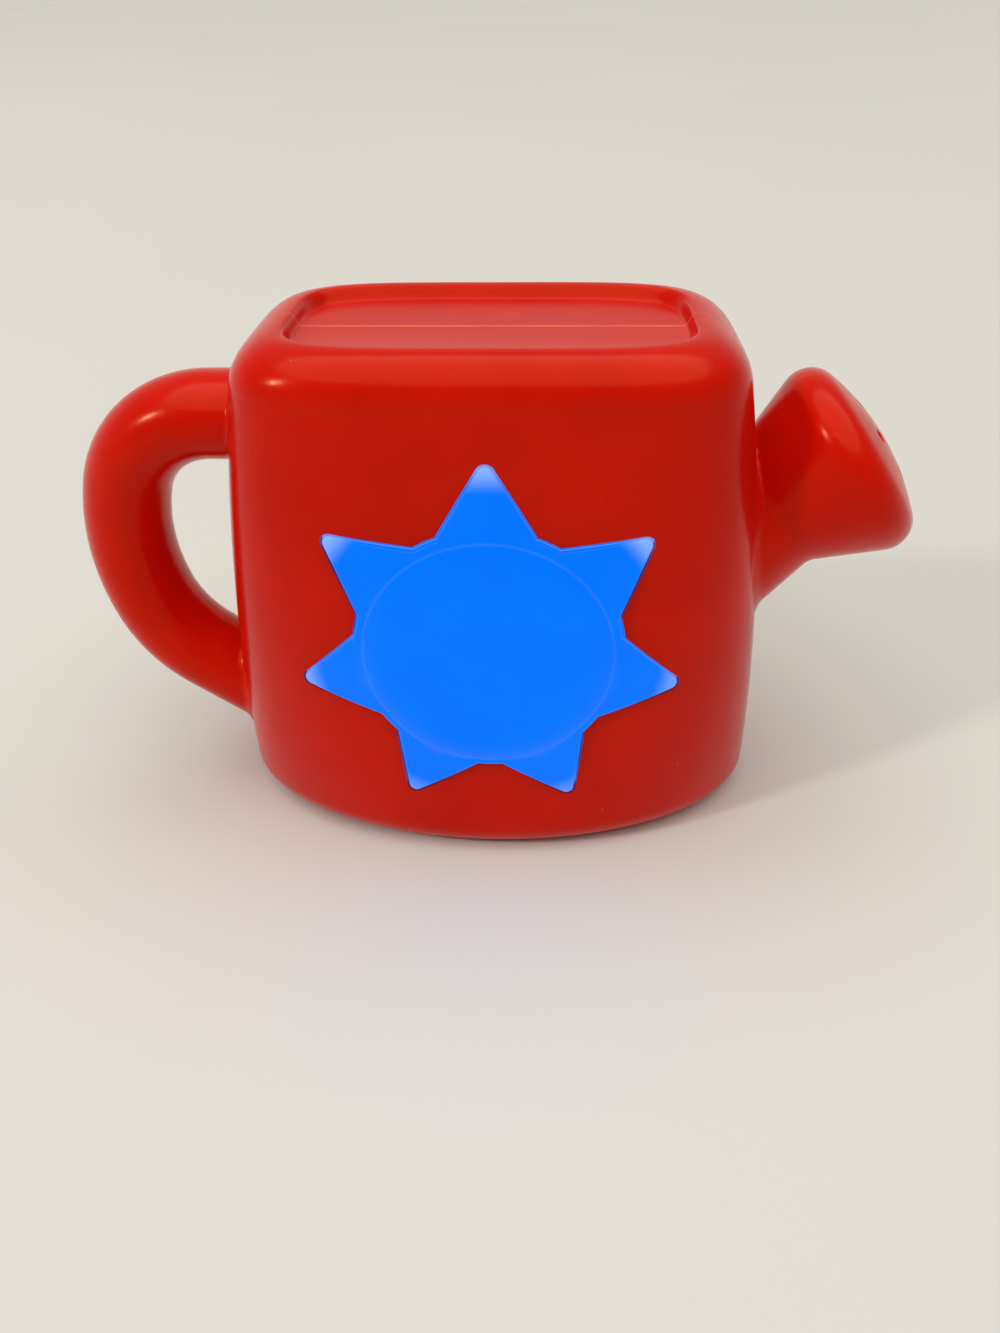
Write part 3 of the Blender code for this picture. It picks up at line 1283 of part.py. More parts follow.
def main():
    """Builds the whole toy."""
    for old in list(bpy.data.objects):
        bpy.data.objects.remove(old)
    root = bpy.data.objects.new("watering_can", None)
    bpy.context.scene.collection.objects.link(root)

    front_shell, rear_shell = make_shells()
    finish_front_shell(front_shell)
    finish_rear_shell(rear_shell)
    door = make_battery_door()
    switch, knob = make_power_switch()
    frame, cone, magnet = make_speaker()
    batteries = make_batteries()
    wires = make_wires()

    red = (0.62, 0.018, 0.006)
    steel = (0.62, 0.62, 0.60)
    dress([front_shell, rear_shell, door], material("red_plastic", red, 0.35), root)
    dress([make_star_button()], material("blue_star_plastic", (0.0, 0.19, 1.0), 0.3), root)
    dress([make_carrier()], material("white_plastic", (0.8, 0.8, 0.78), 0.45), root)
    dress([make_board()], material("board_laminate", (0.02, 0.16, 0.05), 0.5), root)
    dress([make_switch_dome()], material("grey_rubber", (0.25, 0.25, 0.26), 0.8), root)
    dress(make_leds(), material("clear_epoxy", (0.8, 0.85, 0.9), 0.1), root)
    dress([make_sound_chip(), knob], material("black_plastic", (0.012, 0.012, 0.013), 0.4), root)
    dress([make_capacitor()], material("capacitor_sleeve", (0.02, 0.03, 0.10), 0.35), root)
    dress([frame, switch] + make_contacts(), material("plated_steel", steel, 0.3, 1.0), root)
    dress(make_button_springs() + batteries[1::2], material("spring_steel", steel, 0.25, 1.0), root)
    dress(make_screws(), material("screw_steel", steel, 0.35, 1.0), root)
    dress([cone], material("speaker_paper", (0.03, 0.03, 0.03), 0.9), root)
    dress([magnet], material("ferrite", (0.04, 0.04, 0.045), 0.6), root)
    dress([make_speaker_clamp()], material("clamp_plastic", (0.7, 0.7, 0.68), 0.5), root)
    dress(batteries[0::2], material("battery_sleeve", (0.05, 0.05, 0.055), 0.3), root)
    dress(wires[0::2], material("black_wire", (0.015, 0.015, 0.015), 0.5), root)
    dress(wires[1::2], material("red_wire", (0.5, 0.012, 0.01), 0.5), root)
    centre_on_origin(root)


main()
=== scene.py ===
"""Looks of a toy watering can with a light-up star button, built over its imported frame.

The moulded shells, the star, the battery door, the power knob, the outer screws, the cells, the springs and
the rubber dome are rebuilt with fine meshes in the place of their solids. The other parts inside keep their
solids and get finishes. Pieces are drawn about the middle of the can, with y = 0 on the moulding's parting
plane, and moved once.
"""

import json
import math

import bmesh
import bpy
from bpy.props import FloatProperty, FloatVectorProperty, IntProperty, PointerProperty
from mathutils import Matrix, Vector


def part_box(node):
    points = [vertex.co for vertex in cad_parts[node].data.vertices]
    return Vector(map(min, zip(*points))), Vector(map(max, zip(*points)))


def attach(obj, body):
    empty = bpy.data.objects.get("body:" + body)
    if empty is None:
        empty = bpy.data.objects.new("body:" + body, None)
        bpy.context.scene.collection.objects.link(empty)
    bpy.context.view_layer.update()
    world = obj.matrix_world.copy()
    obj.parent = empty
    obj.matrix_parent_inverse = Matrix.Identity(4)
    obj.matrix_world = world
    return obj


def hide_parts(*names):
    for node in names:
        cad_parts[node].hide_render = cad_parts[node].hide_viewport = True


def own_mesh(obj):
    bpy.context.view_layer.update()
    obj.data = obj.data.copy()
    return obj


bl_info = {
    "name": "Toy watering can",
    "version": (1, 0, 0),
    "blender": (4, 5, 0),
    "location": "View3D > Sidebar > Watering can",
    "description": "Builds the visible pieces and finishes of a toy watering can over its packed frame",
    "category": "Object",
}

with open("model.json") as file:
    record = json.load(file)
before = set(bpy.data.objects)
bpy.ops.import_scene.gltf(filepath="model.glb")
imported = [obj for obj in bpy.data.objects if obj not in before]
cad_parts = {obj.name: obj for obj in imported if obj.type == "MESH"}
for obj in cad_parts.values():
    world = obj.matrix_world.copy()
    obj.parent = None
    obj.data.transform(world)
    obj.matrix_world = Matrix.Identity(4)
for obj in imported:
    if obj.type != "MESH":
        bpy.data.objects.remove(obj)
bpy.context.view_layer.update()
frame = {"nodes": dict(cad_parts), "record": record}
# Gap between the solid shells, with the parting plane in its middle
SOLID_SEAM = 0.0003
MIDDLE = Vector((
    sum(corner.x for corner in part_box("star_button")) / 2,
    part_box("front_shell")[1].y + SOLID_SEAM / 2,
    0,
))

MM = 0.001
# Past every part of the can, for cutters and for posts that are trimmed later
FAR = 0.2
# How far a stem runs into what it is joined to
OVERLAP = 0.0002
# Points closer than this become one point
WELD = 2e-6
# Facets where a form shows: the can's sides, levels and steps of an edge; the handle's sides, steps of a bend
# and steps of a straight run; the rose's sides and steps of each stretch of its profile
FINE = {"can": (224, 40, 12), "handle": (72, 30, 50), "rose": (128, 16)}
# The same where a form is drawn in, for cavities and for cutters
COARSE = {"can": (96, 10, 5), "handle": (28, 8, 3), "rose": (40, 5)}
# Facets of the round parts
ROUND_SIDES = 48
CELL_SIDES = 64
HEAD_SIDES = 40
SHANK_SIDES = 24
HOLE_SIDES = 28
RIB_SIDES = 20
WIRE_SIDES = 10
TURN_STEPS = 40
FLOOR_SIDES = 64
# Sockets of a Mix node for colours
SHARE = 0
UNDER = 6
OVER = 7
MIXED = 2


def linear(code):
    """Linear colour of an sRGB hex value."""
    shares = [int(code[place:place + 2], 16) / 255 for place in (0, 2, 4)]
    return [share / 12.92 if share <= 0.04045 else ((share + 0.055) / 1.055) ** 2.4 for share in shares]


def length(name, default, description):
    """A size in metres."""
    return FloatProperty(name=name, description=description, default=default, unit="LENGTH", precision=5)


def angle(name, degrees, description):
    """An angle, given in degrees."""
    return FloatProperty(name=name, description=description, default=math.radians(degrees), unit="ROTATION")


def colour(name, code, description):
    """A colour, given as an sRGB hex value."""
    return FloatVectorProperty(name=name, description=description, default=linear(code), subtype="COLOR",
                               min=0, max=1)


def plain_number(name, default, description):
    """A number without a unit."""
    return FloatProperty(name=name, description=description, default=default, precision=4)


def vector(name, default, subtype, description):
    """A place or a direction."""
    return FloatVectorProperty(name=name, description=description, default=default, subtype=subtype,
                               precision=4)


class CanSizes(bpy.types.PropertyGroup):
    """Sizes of the can's moulded body."""

    height: length("Height", 0.0877, "Floor to rim")
    base_half_width: length("Base half width", 0.0476, "Half width at the floor, before the edge is rounded")
    middle_half_width: length("Middle half width", 0.0445, "Half width at half height")
    top_half_width: length("Top half width", 0.0374, "Half width at the rim, before the edge is rounded")
    base_half_depth: length("Base half depth", 0.0268, "Half depth at the floor")
    top_half_depth: length("Top half depth", 0.0235, "Half depth at the rim")
    base_squareness: plain_number("Base squareness", 1.93, "Power of the base's superellipse")
    top_squareness: plain_number("Top squareness", 4.47, "Power of the rim's superellipse")
    top_edge: length("Top edge", 0.0065, "Radius of the rim's outer edge")
    base_edge: length("Base edge", 0.0060, "Radius of the floor's edge")
    recess: length("Recess", 0.0020, "Depth of the sunk top")
    recess_slope: length("Recess slope", 0.0022, "Width of the slope down to the sunk top")
    wall: length("Wall", 0.0020, "Thickness of the moulding")
    seam: length("Seam", 0.00008, "Gap between the two mouldings")
    clearance: length("Clearance", 0.0003, "Gap between parts that fit together")


class HandleSizes(bpy.types.PropertyGroup):
    """Sizes of the loop handle."""

    top: length("Top", 0.0717, "Height of the upper run's middle line")
    reach: length("Reach", 0.0639, "Distance of the back of the loop from the can's middle")
    shoulder: length("Shoulder radius", 0.0172, "Bend from the upper run to the back")
    back: length("Back radius", 0.0369, "Bend of the back")
    back_sweep: angle("Back sweep", 35.5, "Angle that the back turns through")
    foot: length("Foot radius", 0.0227, "Bend from the back to the foot")
    foot_sweep: angle("Foot sweep", 36.3, "Angle that the foot turns through")
    half_width: length("Half width", 0.0070, "Half width of the tube in the plane of the loop")
    half_depth: length("Half depth", 0.0086, "Half width of the tube across the loop")
    root: length("Root", 0.0100, "How far the upper run reaches into the can")
    foot_run: length("Foot run", 0.0200, "Straight run of the foot into the can")
    fillet: length("Fillet", 0.0012, "Fillet where the tube meets the can")


class RoseSizes(bpy.types.PropertyGroup):
    """Sizes of the neck and the sprinkler rose."""

    tilt: angle("Tilt", 35.9, "Rise of the axis above level")
    x: length("Face X", 0.0610, "Place of the face on the axis")
    z: length("Face Z", 0.0671, "Height of the face on the axis")
    radius: length("Radius", 0.0163, "Radius of the rose")
    edge: length("Edge", 0.0047, "Radius of the rose's rounded rim")
    rim_lean: angle("Rim lean", 22, "Part of the rim's rounding that lies behind its widest ring")
    rim_stop: angle("Rim stop", 18, "How far short of a quarter turn the rim's rounding ends at the face")
    run: length("Length", 0.0175, "Face to waist")
    dome: length("Dome", 0.0019, "Crown of the face")
    waist: length("Waist", 0.0114, "Radius where the neck meets the rose")
    neck_slope: plain_number("Neck slope", 0.218, "Growth of the neck towards the can")
    neck: length("Neck", 0.0225, "Length of the neck")
    waist_round: length("Waist round", 0.0012, "Rounding of the crease between neck and rose")
    fillet: length("Fillet", 0.0012, "Fillet where the neck meets the can")
    dimple: length("Dimple radius", 0.0012, "Radius of a sprinkler dimple")
    dimple_depth: length("Dimple depth", 0.0010, "Depth of a sprinkler dimple")
    dimple_circle: length("Dimple circle", 0.0070, "Radius of the ring of dimples")
    dimple_count: IntProperty(name="Dimples", default=6, description="Dimples in the ring")


class StarSizes(bpy.types.PropertyGroup):
    """Sizes of the star button."""

    drop: length("Drop", 0.00165, "Middle of the star below the can's half height")
    rays: IntProperty(name="Rays", default=7, description="Number of rays")
    tip: length("Tip radius", 0.0310, "Reach of the rays")
    disc: length("Disc radius", 0.0211, "Radius of the notches")
    ray_angle: angle("Ray angle", 20.3, "Half the angle that a ray takes on the disc")
    tip_round: length("Tip round", 0.0011, "Radius of a ray's tip")
    crown_radius: length("Crown radius", 0.0197, "Radius of the raised disc")
    crown: length("Crown", 0.0014, "Rise of the disc over the can's front")
    tip_rise: length("Tip rise", 0.0003, "Rise of the tips over the can's front")
    step: length("Step", 0.00022, "Step down from the raised disc to the rays")
    edge: length("Edge", 0.00045, "Radius of the outer edge")
    # The pale line is a painted highlight on the star's edge where it leaves its opening
    glint: length("Glint", 0.00018, "Half width of the pale line where the star leaves its opening")
    skin: length("Skin", 0.0020, "Thickness of the cap")
    flange_width: length("Flange width", 0.0015, "Width of the hidden flange")
    flange: length("Flange", 0.0014, "Thickness of the hidden flange")
    flange_gap: length("Flange gap", 0.0005, "Gap between the flange and the wall")
    gap: length("Gap", 0.0004, "Gap between the star and its opening")
    travel: length("Travel", 0.0018, "How far the star is pressed")
    stop_gap: length("Stop gap", 0.0008, "Room between the pressed star and its carrier")
    post_circle: length("Post circle", 0.0140, "Distance of the guide posts from the middle")
    post: length("Post radius", 0.0019, "Radius of a guide post")
    pusher: length("Pusher radius", 0.0025, "Radius of the post that presses the switch")


class InnerSizes(bpy.types.PropertyGroup):
    """Sizes of bosses and seats, of the parts at the back, and of cells, springs and rubber dome."""

    boss_wall: length("Boss wall", 0.0014, "Wall of a screw boss")
    screw_head: length("Screw head", 0.0024, "Radius of a shell screw's head")
    screw_head_height: length("Screw head height", 0.0016, "Height of a shell screw's head")
    screw_shank: length("Screw shank", 0.0010, "Radius of a shell screw's shank")
    screw_length: length("Screw length", 0.0098, "Length of a shell screw's shank")
    screw_seat: length("Screw seat", 0.0040, "Depth of the shell screws' seats behind the parting plane")
    small_head: length("Small head", 0.0019, "Radius of a small screw's head")
    small_head_height: length("Small head height", 0.0011, "Height of a small screw's head")
    small_shank: length("Small shank", 0.0008, "Radius of a small screw's shank")
    small_length: length("Small length", 0.0048, "Length of a small screw's shank")
    cell_radius: length("Cell radius", 0.00525, "Radius of a cell")
    cell_length: length("Cell length", 0.0445, "Length of a cell with its nub")
    cell_nub: length("Cell nub", 0.0010, "Height of the nub")
    cell_nub_radius: length("Cell nub radius", 0.0019, "Radius of the nub")
    cell_lip: length("Cell lip", 0.0005, "Radius of a cell's rounded shoulders")
    cell_bare: length("Cell bare end", 0.0016, "Bare steel at each end of a cell's jacket")
    coil_turns: plain_number("Coil turns", 4.0, "Turns of a wound spring")
    contact_taper: plain_number("Contact taper", 0.55, "Narrow end of a contact spring over its wide end")
    contact_tail: length("Contact tail", 0.00155, "Half width of the slot for a contact's tail")
    contact_wire: length("Contact wire", 0.0003, "Radius of a contact spring's wire")
    return_wire: length("Return wire", 0.00035, "Radius of the wire of the springs under the star")
    dome_foot: length("Dome foot", 0.0055, "Radius of the rubber dome's foot")
    dome_pad: length("Dome pad", 0.0030, "Radius of the rubber dome's pad")
    dome_skin: length("Dome skin", 0.0009, "Thickness of the rubber dome")
    pocket_wall: length("Pocket wall", 0.0017, "Wall of the battery pocket")
    door_margin: length("Door margin", 0.0016, "Door past the pocket")
    door_top_margin: length("Door top margin", 0.0062, "Door above the pocket")
    door_corner: length("Door corner", 0.0030, "Radius of the door's corners")
    door_rib: length("Door rib", 0.0014, "Thickness of a rib inside the door")
    door_rib_place: length("Door rib place", 0.0100, "Distance of a rib inside the door from its middle")
    door_rib_margin: length("Door rib margin", 0.0010, "Room between a rib's ends and the pocket")
    ledge_width: length("Ledge width", 0.0018, "Ledge that the door lies on")
    ledge: length("Ledge", 0.0016, "Thickness of the ledge")
    door_head_sink: length("Door head sink", 0.0012, "Depth of the seat of the door's screw")
    hole: length("Grille hole", 0.0010, "Radius of a hole of the speaker's grille")
    pitch: length("Grille pitch", 0.0040, "Distance between the grille's rings")
    speaker_seat: length("Speaker seat", 0.0156, "Outer radius of the speaker's seat")
    speaker_seat_wall: length("Speaker seat wall", 0.0034, "Wall of the speaker's seat")
    speaker_seat_height: length("Speaker seat height", 0.0012, "Seat in front of the wall")
    switch_x: length("Switch X", -0.0270, "Place of the power switch")
    switch_travel: length("Switch travel", 0.0030, "Travel of the power knob")
    knob_half_width: length("Knob half width", 0.0018, "Half width of the power knob")
    knob_half_height: length("Knob half height", 0.0020, "Half height of the power knob")
    knob_flange: length("Knob flange", 0.0030, "Half width of the knob's flange inside the wall")
    knob_corner: length("Knob corner", 0.0010, "Radius of the flange's corners")
    knob_rib: length("Knob rib", 0.00032, "Radius of a grip rib on the knob")
    knob_gap: length("Knob gap", 0.0004, "Gap round the knob")


class Finishes(bpy.types.PropertyGroup):
    """Colours of the materials."""

    red: colour("Red", "d41204", "Moulded body, handle and rose")
    red_deep: colour("Deep red", "cc0e03", "Thicker places of the moulding")
    # Painted highlight along the ridge of the parting flash
    seam: colour("Seam", "fa6a3c", "Flash along the parting line")
    red_gloss: colour("Red gloss", "ffbc7c", "Tint of the moulding's reflections")
    scuff: colour("Scuff", "f08a66", "Pale marks of wear")
    star: colour("Star", "0038a0", "Body of the star")
    star_shade: colour("Star shade", "006af0", "Light through the star's thicker places")
    star_gloss: colour("Star gloss", "6cb3ff", "Tint of the star's reflections")
    star_glow: colour("Star glow", "0078ff", "Light through the star")
    # Painted highlight on the ends and edges of the rays and on the disc's step
    star_tip_highlight: colour("Star tip", "9cb8ea", "Pale ends and edges of the rays")
    white: colour("White", "e6e5e0", "Carrier and clamp")
    laminate: colour("Laminate", "1c6b35", "Circuit board")
    rubber: colour("Rubber", "8a8b8d", "Switch dome")
    lens: colour("Lens", "e8eefc", "Lamp lenses")
    black: colour("Black", "1b1b1d", "Knob and chip")
    sleeve: colour("Sleeve", "22305e", "Capacitor sleeve")
    steel: colour("Steel", "c4c3be", "Screws, springs and contacts")
    paper: colour("Paper", "2b2a29", "Speaker cone")
    ferrite: colour("Ferrite", "37373a", "Speaker magnet")
    cell: colour("Cell", "3c4046", "Sleeve of a cell")
    black_wire: colour("Black wire", "1d1d1f", "Insulation")
    red_wire: colour("Red wire", "b01714", "Insulation")


class StageSettings(bpy.types.PropertyGroup):
    """Floor, light and camera."""

    floor: colour("Floor", "dbd7cd", "Plain pale floor")
    floor_reach: length("Floor reach", 8.0, "Radius of the floor")
    floor_drop: length("Floor drop", 0.0001, "Gap that keeps the floor clear of the can's base")
    backdrop: colour("Backdrop", "d5d1c6", "Air behind the floor's edge")
    backdrop_top: plain_number("Backdrop top", 0.02, "Rise of a line of sight where the air begins to darken")
    ceiling: colour("Ceiling", "a8a498", "Air higher up")
    ceiling_foot: plain_number("Ceiling foot", 0.5, "Rise of a line of sight where only the ceiling shows")
    camera: vector("Camera", (0.0083, -0.15453, 0.13079), "TRANSLATION",
                   "Place of the camera from the can's middle")
    aim: vector("Aim", (-0.0411, 0.8176, -0.5743), "DIRECTION", "Direction that the camera looks in")
    up: vector("Up", (-0.0138, 0.5743, 0.8185), "DIRECTION", "Upward direction of the picture")
    lens: plain_number("Lens", 27.02, "Focal length in millimetres")
    sensor: plain_number("Sensor", 36.0, "Width of the sensor in millimetres")
    near: length("Near", 0.005, "Nearest distance that the camera sees")
    key: plain_number("Key", 2.45, "Strength of the soft overhead light")
    key_spread: angle("Key spread", 80, "Apparent size of the overhead light")
    key_place: vector("Key place", (0.03, -0.08, 0.72), "TRANSLATION", "Where the overhead light comes from")
    window: plain_number("Window", 14.0, "Power of the side window in watts")
    window_place: vector("Window place", (-1.68, -0.97, 1.36), "TRANSLATION", "Middle of the side window")
    window_width: length("Window width", 0.2, "Width of the side window")
    window_height: length("Window height", 0.3, "Height of the side window")
    target: vector("Target", (0, 0, 0.045), "TRANSLATION", "Point that both lights face")
    fill: plain_number("Fill", 0.15, "Strength of the light all round")
    fill_tint: colour("Fill tint", "fffdf8", "Tint of the light all round")


def sizes(part):
    """The size group of one part of the can."""
    return getattr(bpy.context.scene, f"{part}_sizes")


def quarter_turn(steps, first=0):
    """Angles from 0 to a right angle in even steps."""
    return [math.pi / 2 * step / steps for step in range(first, steps + 1)]


def section(height, inset):
    """Half width, half depth and squareness of the can at a height, drawn in by an inset."""
    can = sizes("can")
    rise = height / can.height
    width = can.base_half_width * (1 - rise) * (1 - 2 * rise)
    width += can.middle_half_width * 4 * rise * (1 - rise)
    width += can.top_half_width * rise * (2 * rise - 1)
    depth = can.base_half_depth + (can.top_half_depth - can.base_half_depth) * rise
    squareness = can.base_squareness + (can.top_squareness - can.base_squareness) * rise
    return width - inset, depth - inset, squareness


def wall_depth(x, height, inset):
    """Distance from the parting plane to the can's wall, measured along Y."""
    width, depth, squareness = section(height, inset)
    share = min(abs(x) / width, 1.0) ** squareness
    return depth * (1 - share) ** (1 / squareness)


def can_ring(height, inset, sides):
    """Points round the can at one height."""
    width, depth, squareness = section(height, inset)
    points = []
    for index in range(sides):
        turn = 2 * math.pi * (index + 0.5) / sides
        across = math.cos(turn)
        along = math.sin(turn)
        reach = (abs(across) ** squareness + abs(along) ** squareness) ** (-1 / squareness)
        points.append(Vector((width * across * reach, depth * along * reach, height)))
    return points


def circle(centre_x, centre_z, radius, sides):
    """Points (x, z) of a circle, half a step off its axes."""
    turns = [2 * math.pi * (index + 0.5) / sides for index in range(sides)]
    return [(centre_x + radius * math.cos(turn), centre_z + radius * math.sin(turn)) for turn in turns]


def rounded_rectangle(low_x, high_x, low_z, high_z, corner, steps=10):
    """Points (x, z) of a rectangle with round corners, counter-clockwise."""
    centres = [
        (high_x - corner, high_z - corner, 0),
        (low_x + corner, high_z - corner, 1),
        (low_x + corner, low_z + corner, 2),
        (high_x - corner, low_z + corner, 3),
    ]
    points = []
    for centre_x, centre_z, quarter in centres:
        for step in range(steps + 1):
            turn = (quarter + step / steps) * math.pi / 2
            points.append((centre_x + corner * math.cos(turn), centre_z + corner * math.sin(turn)))
    return points


def grow(outline, distance):
    """Moves each edge of an outline (x, z) outwards, with mitred corners."""
    moved = []
    count = len(outline)
    for index in range(count):
        here = Vector(outline[index])
        before = (here - Vector(outline[index - 1])).normalized()
        after = (Vector(outline[(index + 1) % count]) - here).normalized()
        first = Vector((before.y, -before.x))
        second = Vector((after.y, -after.x))
        mitre = (first + second).normalized()
        moved.append(tuple(here + mitre * (distance / mitre.dot(first))))
    return moved


def new_object(name, vertices, faces):
    """A mesh object with its faces pointing out."""
    mesh = bpy.data.meshes.new(name)
    shape = bmesh.new()
    points = [shape.verts.new(vertex) for vertex in vertices]
    for face in faces:
        shape.faces.new([points[index] for index in face])
    bmesh.ops.recalc_face_normals(shape, faces=shape.faces)
    shape.to_mesh(mesh)
    shape.free()
    body = bpy.data.objects.new(name, mesh)
    bpy.context.scene.collection.objects.link(body)
    return body


def skin(name, rings):
    """Skins rings of points; a ring of one point is a pole, and end rings are capped."""
    vertices = []
    starts = []
    for ring in rings:
        starts.append(len(vertices))
        vertices += ring
    faces = []
    for low in range(len(rings) - 1):
        high = low + 1
        count = max(len(rings[low]), len(rings[high]))
        for index in range(count):
            following = (index + 1) % count
            corners = []
            for ring, places in ((low, (index, following)), (high, (following, index))):
                if len(rings[ring]) == 1:
                    corners.append(starts[ring])
                else:
                    corners += [starts[ring] + place for place in places]
            faces.append(corners)
    for ring in (0, len(rings) - 1):
        if len(rings[ring]) > 1:
            faces.append([starts[ring] + index for index in range(len(rings[ring]))])
    return new_object(name, vertices, faces)


def turned(name, profile, sides, place):
    """Turns a profile of (along, radius) about +Y and places it; a radius of 0 is a pole."""
    rings = []
    for along, radius in profile:
        if radius == 0:
            rings.append([place @ Vector((0, along, 0))])
        else:
            rings.append([place @ Vector((x, along, z)) for x, z in circle(0, 0, radius, sides)])
    return skin(name, rings)


def flat_ring(outline, y):
    """An outline (x, z) as points at one depth."""
    return [Vector((x, y, z)) for x, z in outline]


def prism(name, outline, start, end):
    """An outline (x, z) extruded along Y."""
    return skin(name, [flat_ring(outline, start), flat_ring(outline, end)])


def post(x, z, radius, start, end):
    """A round bar along Y."""
    return prism("post", circle(x, z, radius, ROUND_SIDES), start, end)


def block(low, high):
    """A box between two corners, used to cut or to add."""
    corners = [(low[0], low[2]), (high[0], low[2]), (high[0], high[2]), (low[0], high[2])]
    return prism("block", corners, low[1], high[1])


def flatten(body):
    """Turns a body's modifiers into plain mesh."""
    graph = bpy.context.evaluated_depsgraph_get()
    mesh = bpy.data.meshes.new_from_object(body.evaluated_get(graph))
    body.modifiers.clear()
    body.data = mesh
    return body


def combine(body, tools, operation):
    """Applies Booleans to a body and removes the tools."""
    for tool in tools:
        step = body.modifiers.new(operation, "BOOLEAN")
        step.operation = operation
        step.solver = "MANIFOLD"
        step.object = tool
    flatten(body)
    for tool in tools:
        bpy.data.objects.remove(tool)
    return body


def join(body, *tools):
    """Adds tools to a body."""
    return combine(body, tools, "UNION")


def cut(body, *tools):
    """Takes tools out of a body."""
    return combine(body, tools, "DIFFERENCE")


def trim(body, *tools):
    """Keeps what a body shares with each tool."""
    return combine(body, tools, "INTERSECT")


def copy_of(body):
    """A copy of a body with a mesh of its own."""
    twin = bpy.data.objects.new("copy", body.data.copy())
    bpy.context.scene.collection.objects.link(twin)
    return twin


def finish_piece(body, name, place, material, replaced, sharp=32):
    """Moves a piece to the can's place, shades it, gives it its finish, hangs it under its body's empty and
    hides the solids that it replaces.

    Edges that turn by more than the angle, in degrees, stay sharp.
    """
    shape = bmesh.new()
    shape.from_mesh(body.data)
    bmesh.ops.remove_doubles(shape, verts=shape.verts, dist=WELD)
    bmesh.ops.dissolve_degenerate(shape, edges=shape.edges, dist=WELD)
    shape.to_mesh(body.data)
    shape.free()
    body.data.transform(Matrix.Translation(MIDDLE))
    body.data.shade_smooth()
    body.data.set_sharp_from_angle(angle=math.radians(sharp))
    body.data.materials.clear()
    body.data.materials.append(material)
    body.name = name
    body.data.name = name
    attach(body, place)
    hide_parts(*replaced)


def can_rings(inset, sides, levels, steps):
    """Rings of the can from its floor to its sunk top; an inset can lies inside it by that much all round."""
    can = sizes("can")
    top = can.height if inset == 0 else can.height - can.recess - inset
    base_edge = can.base_edge - inset
    top_edge = can.top_edge - inset
    low = inset + base_edge
    high = top - top_edge
    stations = []
    for turn in quarter_turn(steps):
        stations.append((inset + base_edge * (1 - math.cos(turn)), inset + base_edge * (1 - math.sin(turn))))
    stations += [(low + (high - low) * level / levels, inset) for level in range(1, levels)]
    for turn in quarter_turn(steps):
        stations.append((high + top_edge * math.sin(turn), inset + top_edge * (1 - math.cos(turn))))
    if inset == 0:
        for step in range(1, steps + 1):
            share = step / steps
            drop = can.recess * (1 - math.cos(math.pi * share)) / 2
            stations.append((top - drop, can.top_edge + can.recess_slope * share))
    return [can_ring(height, edge, sides) for height, edge in stations]


def outside(point):
    """How far a point lies outside the can's wall, measured level from the can's middle line."""
    width, depth, squareness = section(point.z, 0)
    measure = (abs(point.x) / width) ** squareness + (abs(point.y) / depth) ** squareness
    return math.hypot(point.x, point.y) * (1 - measure ** (-1 / squareness))


def flared(point, axis_point, fillet):
    """Slides a point of a tube along the can's wall where the tube nears it, as a moulded fillet does."""
    if fillet == 0:
        return point
    here = outside(point)
    probe = 0.00001
    moves = (Vector((probe, 0, 0)), Vector((0, probe, 0)), Vector((0, 0, probe)))
    slope = Vector([(outside(point + move) - here) / probe for move in moves])
    away = here / slope.length
    if away >= fillet:
        return point
    normal = slope.normalized()
    spread = fillet * (1 - max(away, 0) / fillet) ** 2
    way = point - axis_point
    along = (way - normal * way.dot(normal)).normalized()
    # The fillet's foot sinks a little into the wall, so that no sliver of it stands proud
    sink = 0.04
    return point + along * spread - normal * sink * spread


def handle_line(bend_steps, run_steps):
    """Middle line of the handle: points (x, z) with their headings, from the upper root to the foot."""
    handle = sizes("handle")
    bends = [
        (handle.shoulder, math.pi / 2 - handle.back_sweep / 2),
        (handle.back, handle.back_sweep),
        (handle.foot, handle.foot_sweep),
    ]
    heading = math.pi
    spot = Vector((0, handle.top))
    line = [(spot.copy(), heading)]
    for radius, sweep in bends:
        part = sweep / bend_steps
        for _ in range(bend_steps):
            chord = 2 * radius * math.sin(part / 2)
            spot += chord * Vector((math.cos(heading + part / 2), math.sin(heading + part / 2)))
            heading += part
            line.append((spot.copy(), heading))
    shift = Vector((-handle.reach - min(point.x for point, _ in line), 0))
    line = [(point + shift, turn) for point, turn in line]
    root = Vector((handle.root - section(handle.top, 0)[0], handle.top))
    upper = [(root.lerp(line[0][0], step / run_steps), math.pi) for step in range(run_steps)]
    way = Vector((math.cos(heading), math.sin(heading)))
    foot = [(line[-1][0] + way * handle.foot_run * step / run_steps, heading)
            for step in range(1, run_steps + 1)]
    return upper + line + foot


def handle_rings(inset, sides, bend_steps, run_steps):
    """Rings of the handle's oval tube; drawn in by an inset, it has no fillet."""
    handle = sizes("handle")
    fillet = 0 if inset else handle.fillet
    rings = []
    for point, heading in handle_line(bend_steps, run_steps):
        axis_point = Vector((point.x, 0, point.y))
        ring = []
        for across, depth in circle(0, 0, 1, sides):
            side = across * (handle.half_width - inset)
            x = point.x - side * math.sin(heading)
            z = point.y + side * math.cos(heading)
            ring.append(flared(Vector((x, depth * (handle.half_depth - inset), z)), axis_point, fillet))
        rings.append(ring)
    return rings


